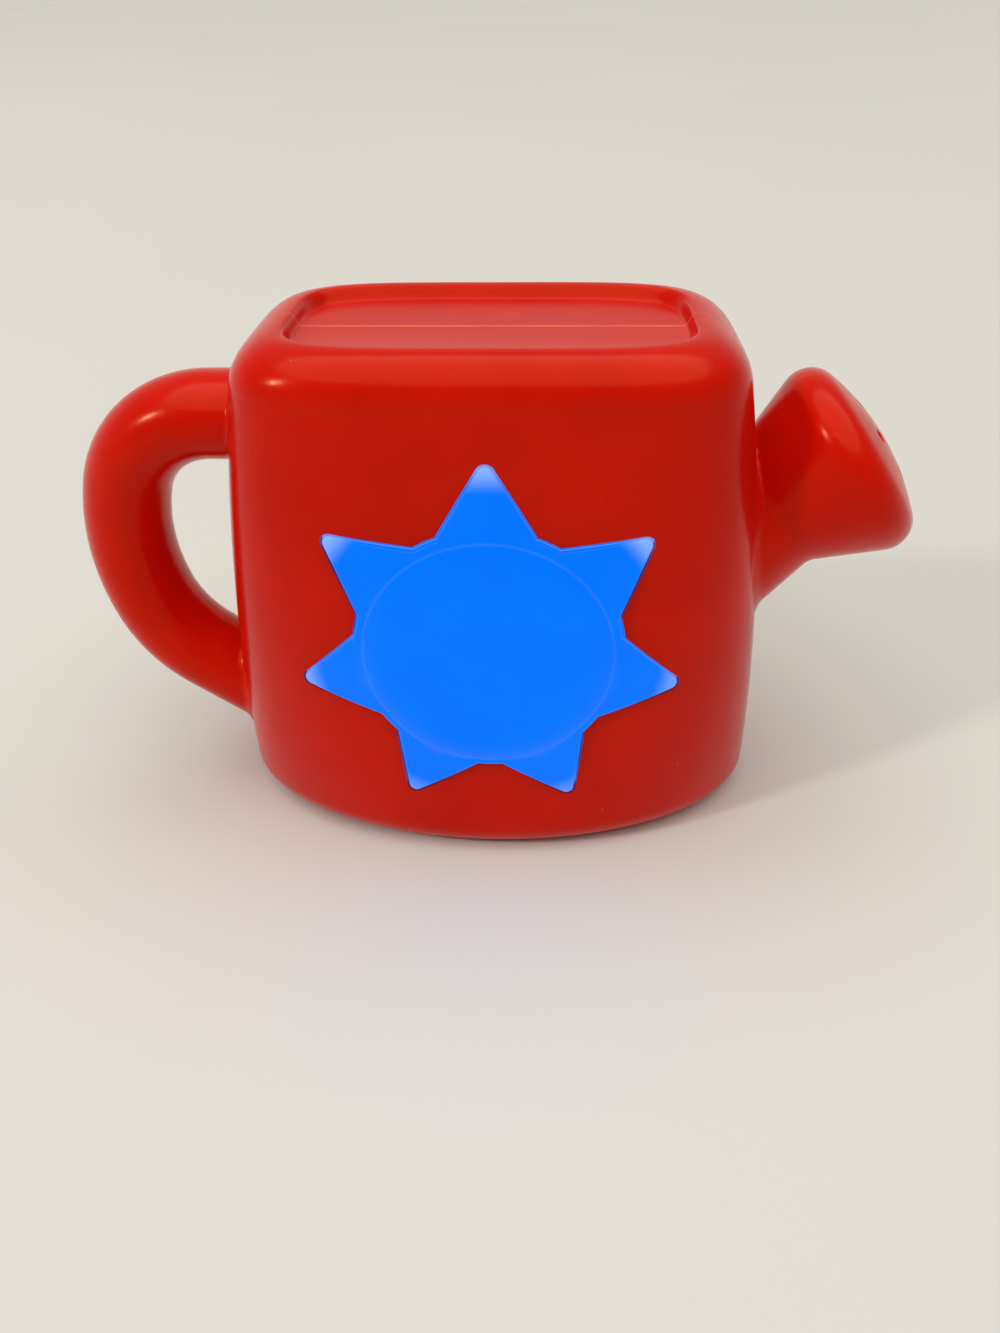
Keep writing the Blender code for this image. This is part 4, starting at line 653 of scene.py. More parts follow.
def rose_profile(inset, steps):
    """Profile (along, radius) of neck and rose from the end inside the can to the face."""
    rose = sizes("rose")
    neck_end = Vector((-rose.run - rose.neck, rose.waist + rose.neck_slope * rose.neck - inset))
    waist = Vector((-rose.run, rose.waist - inset))
    edge = rose.edge - inset
    sweep = rose.rim_lean + math.pi / 2 - rose.rim_stop
    rim = []
    for step in range(steps + 1):
        turn = sweep * step / steps - rose.rim_lean
        along = -rose.edge + edge * math.sin(turn)
        rim.append(Vector((along, rose.radius - rose.edge + edge * math.cos(turn))))
    before = waist + (neck_end - waist).normalized() * rose.waist_round
    after = waist + (rim[0] - waist).normalized() * rose.waist_round
    profile = [Vector((neck_end.x, 0))]
    neck_steps = 4 * steps
    profile += [neck_end.lerp(before, step / neck_steps) for step in range(neck_steps)]
    for step in range(steps):
        share = step / steps
        profile.append(before.lerp(waist, share).lerp(waist.lerp(after, share), share))
    profile += [after.lerp(rim[0], step / steps) for step in range(steps)]
    profile += rim
    last = rim[-1]
    bow = (rose.dome - inset - last.x) / last.y ** 2
    for step in range(1, steps):
        radius = last.y * (1 - step / steps)
        profile.append(Vector((rose.dome - inset - bow * radius * radius, radius)))
    return profile + [Vector((rose.dome - inset, 0))]


def axis_frame():
    """Matrix that lays a part turned about +Y along the rose's axis."""
    rose = sizes("rose")
    along = Vector((math.cos(rose.tilt), 0, math.sin(rose.tilt)))
    up = Vector((-math.sin(rose.tilt), 0, math.cos(rose.tilt)))
    place = Matrix((along.cross(up), along, up)).transposed().to_4x4()
    place.translation = (rose.x, 0, rose.z)
    return place


def rose_rings(inset, sides, steps):
    """Rings of neck and rose along the tilted axis; drawn in by an inset, they have no fillet."""
    fillet = 0 if inset else sizes("rose").fillet
    place = axis_frame()
    rings = []
    for along, radius in rose_profile(inset, steps):
        axis_point = place @ Vector((0, along, 0))
        if radius == 0:
            rings.append([axis_point])
        else:
            ring = [place @ Vector((x, along, z)) for x, z in circle(0, 0, radius, sides)]
            rings.append([flared(point, axis_point, fillet) for point in ring])
    return rings


def facets(part, inset):
    """Facets of a part: fine where it shows, coarse where it is drawn in."""
    return (COARSE if inset else FINE)[part]


def can_solid(inset):
    """The can alone, drawn in by an inset."""
    return skin("can", can_rings(inset, *facets("can", inset)))


def can_form(inset):
    """Can, handle and rose as one solid, drawn in by an inset for cavities and cutters."""
    handle = skin("handle", handle_rings(inset, *facets("handle", inset)))
    rose = skin("rose", rose_rings(inset, *facets("rose", inset)))
    return join(can_solid(inset), handle, rose)


def place_of(node):
    """Middle (x, z) of a solid, from the middle of the can."""
    low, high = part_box(node)
    return (low.x + high.x) / 2 - MIDDLE.x, (low.z + high.z) / 2


def depths_of(node):
    """Front and rear of a solid, from the parting plane."""
    low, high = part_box(node)
    return low.y - MIDDLE.y, high.y - MIDDLE.y


def nodes_of(kind):
    """Names of the numbered solids of one kind, in order."""
    found = []
    for name in sorted(frame["nodes"]):
        start, _, end = name.rpartition("_")
        if start == kind and end.isdigit():
            found.append(name)
    return found


def places_of(kind):
    """Middles (x, z) of the numbered solids of one kind."""
    return [place_of(node) for node in nodes_of(kind)]


def add(tree, kind, inputs=None, **settings):
    """Adds a node with its settings; an input is a value, a socket, or a node whose first output feeds it."""
    node = tree.nodes.new(kind)
    for name, value in settings.items():
        setattr(node, name, value)
    for name, value in (inputs or {}).items():
        socket = node.inputs[name]
        if isinstance(value, bpy.types.Node):
            tree.links.new(value.outputs[0], socket)
        elif isinstance(value, bpy.types.NodeSocket):
            tree.links.new(value, socket)
        elif socket.type == "RGBA":
            socket.default_value = (*value[:3], 1)
        else:
            socket.default_value = value
    return node


def new_tree(name, inputs):
    """A Geometry Nodes tree with points, named sizes and a material as inputs."""
    tree = bpy.data.node_groups.new(name, "GeometryNodeTree")
    tree.interface.new_socket("Points", in_out="INPUT", socket_type="NodeSocketGeometry")
    for size in inputs:
        tree.interface.new_socket(size, in_out="INPUT", socket_type="NodeSocketFloat")
    tree.interface.new_socket("Material", in_out="INPUT", socket_type="NodeSocketMaterial")
    tree.interface.new_socket("Mesh", in_out="OUTPUT", socket_type="NodeSocketGeometry")
    return tree, add(tree, "NodeGroupInput").outputs


def close_tree(tree, start, geometry):
    """Ends a tree with real geometry and its material."""
    real = add(tree, "GeometryNodeRealizeInstances", {"Geometry": geometry})
    dressed = add(tree, "GeometryNodeSetMaterial", {"Geometry": real, "Material": start["Material"]})
    add(tree, "NodeGroupOutput", {"Mesh": dressed})
    return tree


def run_tree(tree, points, values, material=None):
    """A plain mesh object made by a tree from points and sizes."""
    body = new_object(tree.name, points, [])
    step = body.modifiers.new(tree.name, "NODES")
    step.node_group = tree
    for item in tree.interface.items_tree:
        if item.in_out == "INPUT" and item.name in values:
            step[item.identifier] = values[item.name]
        elif item.in_out == "INPUT" and item.name == "Material" and material:
            step[item.identifier] = material
    return flatten(body)


def screw_tree():
    """Pan-head screws with a cross recess, one at each point, their heads towards +Y."""
    tree, start = new_tree("pan_head_screws", ["Head radius", "Head height", "Shank radius", "Shank length"])
    radius = start["Head radius"]
    height = start["Head height"]
    shares = {
        "rim": (height, 0.45),
        "crown": (height, 0.6),
        "crown_lift": (height, 0.4),
        "crown_foot": (radius, 0.99),
        "crown_radius": (radius, 0.72),
        "point_radius": (start["Shank radius"], 0.45),
        "shank_run": (start["Shank length"], 1.02),
        "shank_drop": (start["Shank length"], -1.0),
        "slot_length": (radius, 1.25),
        "slot_width": (radius, 0.26),
        "slot_depth": (height, 1.1),
    }
    part = {}
    for name, (size, share) in shares.items():
        part[name] = add(tree, "ShaderNodeMath", {0: size, 1: share}, operation="MULTIPLY")
    rim = add(tree, "GeometryNodeMeshCone", {
        "Vertices": HEAD_SIDES, "Radius Top": radius, "Radius Bottom": radius, "Depth": part["rim"]})
    crown = add(tree, "GeometryNodeMeshCone", {
        "Vertices": HEAD_SIDES, "Radius Top": part["crown_radius"], "Radius Bottom": part["crown_foot"],
        "Depth": part["crown"]})
    lift = add(tree, "ShaderNodeCombineXYZ", {"Z": part["crown_lift"]})
    raised = add(tree, "GeometryNodeTransform", {"Geometry": crown, "Translation": lift})
    shank = add(tree, "GeometryNodeMeshCone", {
        "Vertices": SHANK_SIDES, "Radius Top": start["Shank radius"], "Radius Bottom": part["point_radius"],
        "Depth": part["shank_run"]})
    sink = add(tree, "ShaderNodeCombineXYZ", {"Z": part["shank_drop"]})
    lowered = add(tree, "GeometryNodeTransform", {"Geometry": shank, "Translation": sink})
    solid = add(tree, "GeometryNodeMeshBoolean", operation="UNION", solver="MANIFOLD")
    crossed = add(tree, "GeometryNodeMeshBoolean", {"Mesh 1": solid},
                  operation="DIFFERENCE", solver="MANIFOLD")
    for piece in (rim, raised, lowered):
        tree.links.new(piece.outputs[0], solid.inputs["Mesh 2"])
    top = add(tree, "ShaderNodeCombineXYZ", {"Z": height})
    for x, y in (("slot_length", "slot_width"), ("slot_width", "slot_length")):
        size = add(tree, "ShaderNodeCombineXYZ", {"X": part[x], "Y": part[y], "Z": part["slot_depth"]})
        blade = add(tree, "GeometryNodeMeshCube", {"Size": size})
        placed = add(tree, "GeometryNodeTransform", {"Geometry": blade, "Translation": top})
        tree.links.new(placed.outputs[0], crossed.inputs["Mesh 2"])
    spread = add(tree, "GeometryNodeInstanceOnPoints", {
        "Points": start["Points"], "Instance": crossed, "Rotation": (-math.pi / 2, 0, 0)})
    return close_tree(tree, start, spread)


def ring_tree(name, ring_counts):
    """Tapered plugs along Z: one in the middle and one ring for each count, half a step off the axes."""
    tree, start = new_tree(name, ["Pitch", "Near radius", "Far radius", "Depth", "Ring drop"])
    together = add(tree, "GeometryNodeJoinGeometry")
    middle = add(tree, "GeometryNodeMeshLine", {"Count": 1})
    tree.links.new(middle.outputs[0], together.inputs[0])
    for ring, count in enumerate(ring_counts, 1):
        reach = add(tree, "ShaderNodeMath", {0: start["Pitch"], 1: ring}, operation="MULTIPLY")
        loop = add(tree, "GeometryNodeMeshCircle", {"Vertices": count, "Radius": reach})
        depth = add(tree, "ShaderNodeMath", {0: start["Ring drop"], 1: -ring}, operation="MULTIPLY")
        drop = add(tree, "ShaderNodeCombineXYZ", {"Z": depth})
        turned_loop = add(tree, "GeometryNodeTransform", {
            "Geometry": loop, "Translation": drop, "Rotation": (0, 0, math.pi / count)})
        tree.links.new(turned_loop.outputs[0], together.inputs[0])
    plug = add(tree, "GeometryNodeMeshCone", {
        "Vertices": HOLE_SIDES, "Radius Bottom": start["Near radius"], "Radius Top": start["Far radius"],
        "Depth": start["Depth"]})
    spread = add(tree, "GeometryNodeInstanceOnPoints", {"Points": together, "Instance": plug})
    return close_tree(tree, start, spread)


def coil_tree():
    """A straight or conical coil of round wire along Z."""
    tree, start = new_tree("wound_coil", ["Wide radius", "Narrow radius", "Height", "Turns", "Wire radius"])
    spiral = add(tree, "GeometryNodeCurveSpiral", {
        "Resolution": TURN_STEPS, "Rotations": start["Turns"], "Start Radius": start["Wide radius"],
        "End Radius": start["Narrow radius"], "Height": start["Height"]})
    wire = add(tree, "GeometryNodeCurvePrimitiveCircle", {
        "Resolution": WIRE_SIDES, "Radius": start["Wire radius"]})
    tube = add(tree, "GeometryNodeCurveToMesh", {"Curve": spiral, "Profile Curve": wire, "Fill Caps": True})
    return close_tree(tree, start, tube)


def rib_tree(count):
    """Grip ribs across the power knob, stacked along Z about its middle."""
    tree, start = new_tree("knob_ribs", ["Half width", "Radius", "Pitch"])
    step = add(tree, "ShaderNodeCombineXYZ", {"Z": start["Pitch"]})
    below = add(tree, "ShaderNodeMath", {0: start["Pitch"], 1: -(count - 1) / 2}, operation="MULTIPLY")
    lowest = add(tree, "ShaderNodeCombineXYZ", {"Z": below})
    line = add(tree, "GeometryNodeMeshLine", {"Count": count, "Start Location": lowest, "Offset": step})
    run = add(tree, "ShaderNodeMath", {0: start["Half width"], 1: 2.0}, operation="MULTIPLY")
    bar = add(tree, "GeometryNodeMeshCylinder", {
        "Vertices": RIB_SIDES, "Radius": start["Radius"], "Depth": run})
    across = add(tree, "GeometryNodeTransform", {"Geometry": bar, "Rotation": (0, math.pi / 2, 0)})
    spread = add(tree, "GeometryNodeInstanceOnPoints", {"Points": line, "Instance": across})
    return close_tree(tree, start, spread)


def rose_dimples():
    """Cutters for the blind sprinkler dimples."""
    rose = sizes("rose")
    share = rose.dimple_circle / (rose.radius - rose.edge)
    taper = 0.4
    cutters = run_tree(ring_tree("sprinkler_dimples", [rose.dimple_count]), [(0, 0, 0)], {
        "Pitch": rose.dimple_circle,
        "Near radius": rose.dimple * (1 - taper),
        "Far radius": rose.dimple * (1 + taper),
        "Depth": 2 * rose.dimple_depth,
        "Ring drop": rose.dome * share * share,
    })
    lay = Matrix.Rotation(-math.pi / 2, 4, "X")
    lift = Matrix.Translation((0, rose.dome - rose.dimple_depth, 0))
    cutters.data.transform(axis_frame() @ lift @ lay)
    return cutters


def star_middle():
    """Height of the star's middle."""
    return sizes("can").height / 2 - sizes("star").drop


def around(radius, turn):
    """Point at a radius and an angle."""
    return Vector((radius * math.cos(turn), radius * math.sin(turn)))


def star_outline(steps=8):
    """Outline (x, z) of the star about its middle, counter-clockwise from the top ray."""
    star = sizes("star")
    base = around(star.disc, star.ray_angle)
    slope = math.atan2(base.y, star.tip - base.x)
    centre = star.tip - star.tip_round
    flank = math.pi / 2 - slope
    tip = []
    for share in range(-steps, steps + 1):
        turn = flank * share / steps
        tip.append(Vector((centre + star.tip_round * math.cos(turn), star.tip_round * math.sin(turn))))
    rise = [Vector((base.x, -base.y)).lerp(tip[0], step / steps) for step in range(steps)]
    fall = [tip[-1].lerp(base, step / steps) for step in range(1, steps + 1)]
    rest = math.pi / star.rays - star.ray_angle
    notch = [around(star.disc, star.ray_angle + 2 * rest * step / steps) for step in range(1, steps)]
    ray = rise + tip + fall + notch
    points = []
    for number in range(star.rays):
        turn = Matrix.Rotation(math.pi / 2 + 2 * math.pi * number / star.rays, 2)
        points += [tuple(turn @ point) for point in ray]
    return points


def past_disc(x, z):
    """Share of the way from the raised disc's edge, at 0, to the tips, at 1; negative on the disc."""
    star = sizes("star")
    return (math.hypot(x, z) - star.crown_radius) / (star.tip - star.crown_radius)


def star_front(x, z):
    """Front of the star but for its step: the can's front, crowned on the disc and sloping along the rays."""
    star = sizes("star")
    rise = star.crown + (star.tip_rise - star.crown) * min(max(past_disc(x, z), 0), 1)
    return -wall_depth(x, star_middle() + z, 0) - rise


def star_face(x, z):
    """Front of the star with the step down from the raised disc, which fades out towards the tips."""
    share = past_disc(x, z)
    # On the disc's own edge the share is 0 but for rounding, and the step begins past it
    if share <= 0.001:
        return star_front(x, z)
    return star_front(x, z) + sizes("star").step * min(max(1 - share, 0), 1)


def star_seat(x, z):
    """Where the star's flange begins, just behind the front wall."""
    can = sizes("can")
    return sizes("star").flange_gap - wall_depth(x, star_middle() + z, can.wall)


def scaled_to(outline, radius):
    """Points at one radius, in the directions of an outline's points."""
    return [(x * radius / math.hypot(x, z), z * radius / math.hypot(x, z)) for x, z in outline]


def between(first, second, share):
    """Outline partway from one outline to another."""
    return [(a + (c - a) * share, b + (d - b) * share) for (a, b), (c, d) in zip(first, second)]


def star_ring(outline, depth_of, shift=0):
    """An outline (x, z) about the star's middle, laid on a surface that gives a depth for each point."""
    return [Vector((x, depth_of(x, z) + shift, star_middle() + z)) for x, z in outline]


def star_cap():
    """Solid of the star with a crowned disc, sloping rays and rounded edges."""
    star = sizes("star")
    face_steps = 6
    edge_steps = 5
    edge = star_outline()
    top = grow(edge, -star.edge)
    foot = scaled_to(edge, star.crown_radius + star.step)
    rings = [star_ring([(0, 0)], star_front)]
    for step in range(1, face_steps + 1):
        rings.append(star_ring(scaled_to(edge, star.crown_radius * step / face_steps), star_face))
    rings += [star_ring(between(foot, top, step / face_steps), star_face) for step in range(face_steps + 1)]
    for turn in quarter_turn(edge_steps, 1):
        drawn = grow(edge, star.edge * (math.sin(turn) - 1))
        rings.append(star_ring(drawn, star_face, star.edge * (1 - math.cos(turn))))
    for level in (-star.glint, 0, star.glint):
        rings.append([])
        for point in star_ring(edge, star_face, star.edge):
            depth = max(point.y, -wall_depth(point.x, point.z, 0)) + star.glint + level
            rings[-1].append(Vector((point.x, depth, point.z)))
    rings.append(star_ring(edge, star_seat, star.flange))
    rings.append(star_ring([(0, 0)], star_seat, star.flange))
    return skin("star_button", rings)


def flange_outline():
    """Outline (x, z) of the star's hidden flange."""
    return grow(star_outline(1), sizes("star").flange_width)


def star_flange():
    """Hidden flange that keeps the star in its opening."""
    flange = sizes("star").flange
    outline = flange_outline()
    return skin("flange", [
        star_ring([(0, 0)], star_seat),
        star_ring(outline, star_seat),
        star_ring(outline, star_seat, flange),
        star_ring([(0, 0)], star_seat, flange),
    ])


def star_hollow():
    """Space inside the star, open at the back."""
    star = sizes("star")
    # A ray's slanting flanks need a deeper inset along the radius than the disc to keep the same skin
    ray_extra = 0.85
    inner = []
    for x, z in star_outline(4):
        radius = math.hypot(x, z)
        inset = star.skin * (1 + ray_extra * min((radius - star.disc) / star.skin, 1))
        inner.append((x * (radius - inset) / radius, z * (radius - inset) / radius))
    disc = scaled_to(inner, star.crown_radius - star.skin)
    back = star.flange + star.skin
    return skin("hollow", [
        star_ring([(0, 0)], star_front, star.skin),
        star_ring(disc, star_front, star.skin),
        star_ring(inner, star_front, star.skin),
        star_ring(inner, star_seat, back),
        star_ring([(0, 0)], star_seat, back),
    ])


def star_opening():
    """Cutter for the star's opening in the front wall."""
    star = sizes("star")
    outline = [(x, star_middle() + z) for x, z in grow(star_outline(), star.gap)]
    return prism("opening", outline, -FAR, carrier_front() - sizes("can").clearance)


def carrier_front():
    """Depth of the carrier's front face, where the front shell's lugs end."""
    star = sizes("star")
    return max(star_seat(x, z) for x, z in flange_outline()) + star.flange + star.travel + star.stop_gap


def door_sizes():
    """Door outline's low x, high x, low z and high z."""
    low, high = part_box("battery_door")
    return low.x - MIDDLE.x, high.x - MIDDLE.x, low.z, high.z


def door_outline():
    """Outline (x, z) of the battery door."""
    return rounded_rectangle(*door_sizes(), sizes("inner").door_corner)


def pocket_box():
    """Low and high corners of the battery pocket's space."""
    inner = sizes("inner")
    _, high_x, low_z, high_z = door_sizes()
    side = high_x - inner.door_margin
    floor = depths_of("battery_1")[0] - sizes("can").clearance
    return (-side, floor, low_z + inner.door_margin), (side, FAR, high_z - inner.door_top_margin)


def switch_depth():
    """Rear face of the power knob's flange."""
    can = sizes("can")
    inner = sizes("inner")
    side = abs(inner.switch_x) + inner.knob_flange
    return wall_depth(side, place_of("power_switch")[1], can.wall) - inner.knob_gap


def add_inside(shell, parts, limit):
    """Joins parts to a shell, each trimmed to a limit inside the shell's wall."""
    for part in parts:
        join(shell, trim(part, copy_of(limit)))
    bpy.data.objects.remove(limit)


def front_half(form):
    """Front moulding: hollow, with its bosses and the star's opening."""
    can = sizes("can")
    inner = sizes("inner")
    shell = trim(copy_of(form), block((-FAR, -FAR, -FAR), (FAR, -can.seam / 2, FAR)))
    cut(shell, can_form(can.wall))
    pilot = inner.screw_shank + can.clearance
    small = inner.small_shank + can.clearance
    lugs = carrier_front() - can.clearance
    screws = places_of("shell_screw")
    holders = places_of("carrier_screw")
    bosses = [post(x, z, pilot + inner.boss_wall, -FAR, -can.clearance) for x, z in screws]
    bosses += [post(x, z, small + inner.boss_wall, -FAR, lugs) for x, z in holders]
    add_inside(shell, bosses, can_form(can.wall / 2))
    bottom = inner.screw_seat - inner.screw_length - can.wall / 2
    holes = [post(x, z, pilot, bottom, 0) for x, z in screws]
    holes += [post(x, z, small, lugs - inner.small_length, lugs + can.wall) for x, z in holders]
    return cut(shell, star_opening(), *holes)


def rear_additions():
    """Bosses, speaker seat, door ledge and battery pocket of the rear moulding."""
    can = sizes("can")
    inner = sizes("inner")
    head = inner.screw_head + 2 * can.clearance
    small = inner.small_shank + can.clearance + inner.boss_wall
    parts = [post(x, z, head + inner.boss_wall, can.clearance, FAR) for x, z in places_of("shell_screw")]
    for kind, carried in (("clamp_screw", "speaker_clamp"), ("switch_screw", "power_switch")):
        start = depths_of(carried)[1] + can.clearance
        parts += [post(x, z, small, start, FAR) for x, z in places_of(kind)]
    x, z = place_of("speaker_frame")
    depth = wall_depth(x, z + inner.speaker_seat, can.wall) - inner.speaker_seat_height
    seat = post(x, z, inner.speaker_seat, depth, FAR)
    parts.append(cut(seat, post(x, z, inner.speaker_seat - inner.speaker_seat_wall, 0, 2 * FAR)))
    ledge = prism("ledge", grow(door_outline(), inner.ledge_width), 0, FAR)
    parts.append(cut(ledge, can_solid(can.wall + can.clearance + inner.ledge)))
    low, high = pocket_box()
    wall = Vector((inner.pocket_wall,) * 3)
    parts.append(block(Vector(low) - wall, Vector(high) + wall))
    x, z = place_of("door_screw")
    socket = wall_depth(0, z, can.wall) - inner.small_length - inner.boss_wall
    parts.append(post(x, z, small, socket, FAR))
    return parts


def grille_holes():
    """Cutters for the speaker's grille."""
    inner = sizes("inner")
    x, z = place_of("speaker_frame")
    depth = depths_of("speaker_frame")[1]
    ring_counts = [6, 12]
    holes = run_tree(ring_tree("speaker_grille", ring_counts), [(0, 0, 0)], {
        "Pitch": inner.pitch,
        "Near radius": inner.hole,
        "Far radius": inner.hole,
        "Depth": FAR,
        "Ring drop": 0.0,
    })
    holes.data.transform(Matrix.Translation((x, depth, z)) @ Matrix.Rotation(-math.pi / 2, 4, "X"))
    return holes


def switch_slot():
    """Cutter for the slot that the power knob slides in; at rest the knob is at its lower end."""
    inner = sizes("inner")
    middle = place_of("power_switch")[1]
    half = inner.knob_half_width + inner.knob_gap
    reach = inner.switch_travel / 2 + inner.knob_half_height + inner.knob_gap
    corner = half * 0.6
    outline = rounded_rectangle(inner.switch_x - half, inner.switch_x + half, middle - reach, middle + reach,
                                corner)
    return prism("slot", outline, switch_depth(), FAR)


def rear_half(form):
    """Rear moulding: hollow, with door opening, pocket, grille, switch slot and screw wells."""
    can = sizes("can")
    inner = sizes("inner")
    shell = trim(copy_of(form), block((-FAR, can.seam / 2, -FAR), (FAR, FAR, FAR)))
    cut(shell, can_form(can.wall))
    add_inside(shell, rear_additions(), can_form(can.wall / 2))
    opening = prism("opening", grow(door_outline(), can.clearance), 0, FAR)
    cut(opening, can_solid(can.wall + can.clearance))
    small = inner.small_shank + can.clearance
    seat = inner.screw_seat
    holes = [opening, block(*pocket_box()), grille_holes(), switch_slot()]
    for x, z in places_of("shell_screw"):
        holes.append(post(x, z, inner.screw_shank + can.clearance, -can.wall, seat + can.clearance))
        holes.append(post(x, z, inner.screw_head + 2 * can.clearance, seat, FAR))
    for node in nodes_of("clamp_screw") + nodes_of("switch_screw"):
        holes.append(post(*place_of(node), small, *depths_of(node)))
    holes.append(post(*place_of("door_screw"), small, depths_of("door_screw")[0] - can.clearance, FAR))
    tail = inner.contact_tail
    tail_end = pocket_box()[0][1] + inner.pocket_wall
    for node in ("contact_negative", "contact_positive"):
        low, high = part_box(node)
        z = place_of(node)[1]
        start = (low.x - MIDDLE.x - can.clearance, depths_of(node)[0], z - tail)
        holes.append(block(start, (high.x - MIDDLE.x + can.clearance, tail_end, z + tail)))
    return cut(shell, *holes)


def door_body():
    """Curved battery door, flush with the rear wall, with a screw seat and two ribs inside."""
    can = sizes("can")
    inner = sizes("inner")
    door = prism("battery_door", door_outline(), 0, FAR)
    trim(door, can_solid(0))
    cut(door, can_solid(can.wall))
    low, high = pocket_box()
    cell = depths_of("battery_1")[1] + can.clearance
    ribs = []
    for side in (-1, 1):
        left = side * inner.door_rib_place - inner.door_rib / 2
        ribs.append(block((left, cell, low[2] + inner.door_rib_margin),
                          (left + inner.door_rib, FAR, high[2] - inner.door_rib_margin)))
    add_inside(door, ribs, can_solid(can.wall / 2))
    x, z = place_of("door_screw")
    seat = wall_depth(0, z, 0) - inner.door_head_sink
    head = inner.small_head + can.clearance
    return cut(door, post(x, z, inner.small_shank + can.clearance, 0, FAR), post(x, z, head, seat, FAR))


def knob_body():
    """Sliding power knob: flange inside the wall, stem through the slot and grip ribs on its end."""
    inner = sizes("inner")
    low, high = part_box("power_knob")
    inside, end = depths_of("power_knob")
    x = inner.switch_x
    rest = place_of("power_knob")[1]
    rib = inner.knob_rib
    shoulder = end - 2 * rib
    flange = rounded_rectangle(low.x - MIDDLE.x, high.x - MIDDLE.x, low.z, high.z, inner.knob_corner)
    knob = prism("power_knob", flange, inside, switch_depth())
    stem = rounded_rectangle(x - inner.knob_half_width, x + inner.knob_half_width,
                             rest - inner.knob_half_height, rest + inner.knob_half_height,
                             inner.knob_half_width / 2)
    rings = [flat_ring(stem, inside + OVERLAP), flat_ring(stem, shoulder)]
    for turn in quarter_turn(4, 1):
        rings.append(flat_ring(grow(stem, -rib * (1 - math.cos(turn))), shoulder + rib * math.sin(turn)))
    join(knob, skin("stem", rings))
    rib_width = inner.knob_half_width * 0.8
    rib_pitch = inner.knob_half_height * 0.55
    rib_count = 3
    ribs = run_tree(rib_tree(rib_count), [(0, 0, 0)], {
        "Half width": rib_width,
        "Radius": rib,
        "Pitch": rib_pitch,
    })
    ribs.data.transform(Matrix.Translation((x, end - rib, rest)))
    return join(knob, ribs)


def cell_body(node, side):
    """A cylindrical cell with rounded shoulders, an end cap and a nub towards the given side."""
    inner = sizes("inner")
    low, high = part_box(node)
    radius = inner.cell_radius
    nub = inner.cell_nub_radius
    lip = inner.cell_lip
    total = inner.cell_length
    body = total - inner.cell_nub
    flat_sink = 0.0002
    groove = 0.0003
    nub_round = 0.0003
    # The jacket's ends are two close rings, so that its colour stops in a sharp line
    jacket_edge = 0.00005
    flat_disc = radius * 0.70
    flat_rim = radius * 0.74
    cap_rim = radius * 0.80
    cap_foot = radius * 0.78
    profile = [(flat_sink, 0), (flat_sink, flat_disc), (0, flat_rim), (0, radius - lip)]
    for turn in quarter_turn(5, 1):
        profile.append((lip * (1 - math.cos(turn)), radius - lip + lip * math.sin(turn)))
    for along in (inner.cell_bare, body - inner.cell_bare):
        profile += [(along - jacket_edge, radius), (along + jacket_edge, radius)]
    for turn in quarter_turn(5):
        profile.append((body - lip + lip * math.sin(turn), radius - lip + lip * math.cos(turn)))
    profile += [(body, cap_rim), (body - groove, cap_foot), (body - groove, nub + flat_sink)]
    for turn in quarter_turn(4):
        along = total - nub_round + nub_round * math.sin(turn)
        profile.append((along, nub - nub_round + nub_round * math.cos(turn)))
    profile.append((total, 0))
    start = (low.x if side > 0 else high.x) - MIDDLE.x
    place = Matrix.Translation((start, (low.y + high.y) / 2 - MIDDLE.y, (low.z + high.z) / 2))
    place = place @ Matrix.Rotation(-side * math.pi / 2, 4, "Z")
    return turned(node, profile, CELL_SIDES, place)


def coil_body(node, axis, side, taper, wire, material):
    """Wound spring in its node's box, from its wide end towards one side of an axis."""
    low, high = (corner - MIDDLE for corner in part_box(node))
    wide = (high.z - low.z) / 2 - wire
    coil = run_tree(coil_tree(), [(0, 0, 0)], {
        "Wide radius": wide,
        "Narrow radius": wide * taper,
        "Height": high[axis] - low[axis] - 2 * wire,
        "Turns": sizes("inner").coil_turns,
        "Wire radius": wire,
    }, material)
    start = (low + high) / 2
    start[axis] = low[axis] + wire if side > 0 else high[axis] - wire
    way = Vector((0, 0, 0))
    way[axis] = side
    turn = Vector((0, 0, 1)).rotation_difference(way).to_matrix().to_4x4()
    coil.data.transform(Matrix.Translation(start) @ turn)
    return coil


def dome_body():
    """Rubber dome on the circuit board: a pad on a thin flared skirt with a flat foot."""
    inner = sizes("inner")
    low, high = (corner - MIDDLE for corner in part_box("switch_dome"))
    skin_depth = inner.dome_skin
    pad = low.y + 2 * skin_depth
    foot = high.y - skin_depth
    edge = skin_depth / 2
    profile = [(low.y, 0)]
    for turn in quarter_turn(4):
        profile.append((low.y + edge * (1 - math.cos(turn)), inner.dome_pad - edge + edge * math.sin(turn)))
    reach = inner.dome_foot - skin_depth - inner.dome_pad
    steps = 5
    flare = [(pad + (foot - pad) * step / steps, reach * (step / steps) ** 2) for step in range(steps + 1)]
    profile += [(along, inner.dome_pad + out) for along, out in flare]
    profile += [(foot, inner.dome_foot), (high.y, inner.dome_foot)]
    profile.append((high.y, inner.dome_foot - 2 * skin_depth))
    profile += [(along, inner.dome_pad - skin_depth + out) for along, out in reversed(flare)]
    profile.append((pad, 0))
    return turned("switch_dome", profile, ROUND_SIDES, Matrix.Translation((0, 0, star_middle())))


def new_material(name):
    """An empty material with its node tree and Object coordinates."""
    material = bpy.data.materials.new(name)
    material.use_nodes = True
    tree = material.node_tree
    tree.nodes.clear()
    return material, tree, add(tree, "ShaderNodeTexCoord").outputs["Object"]


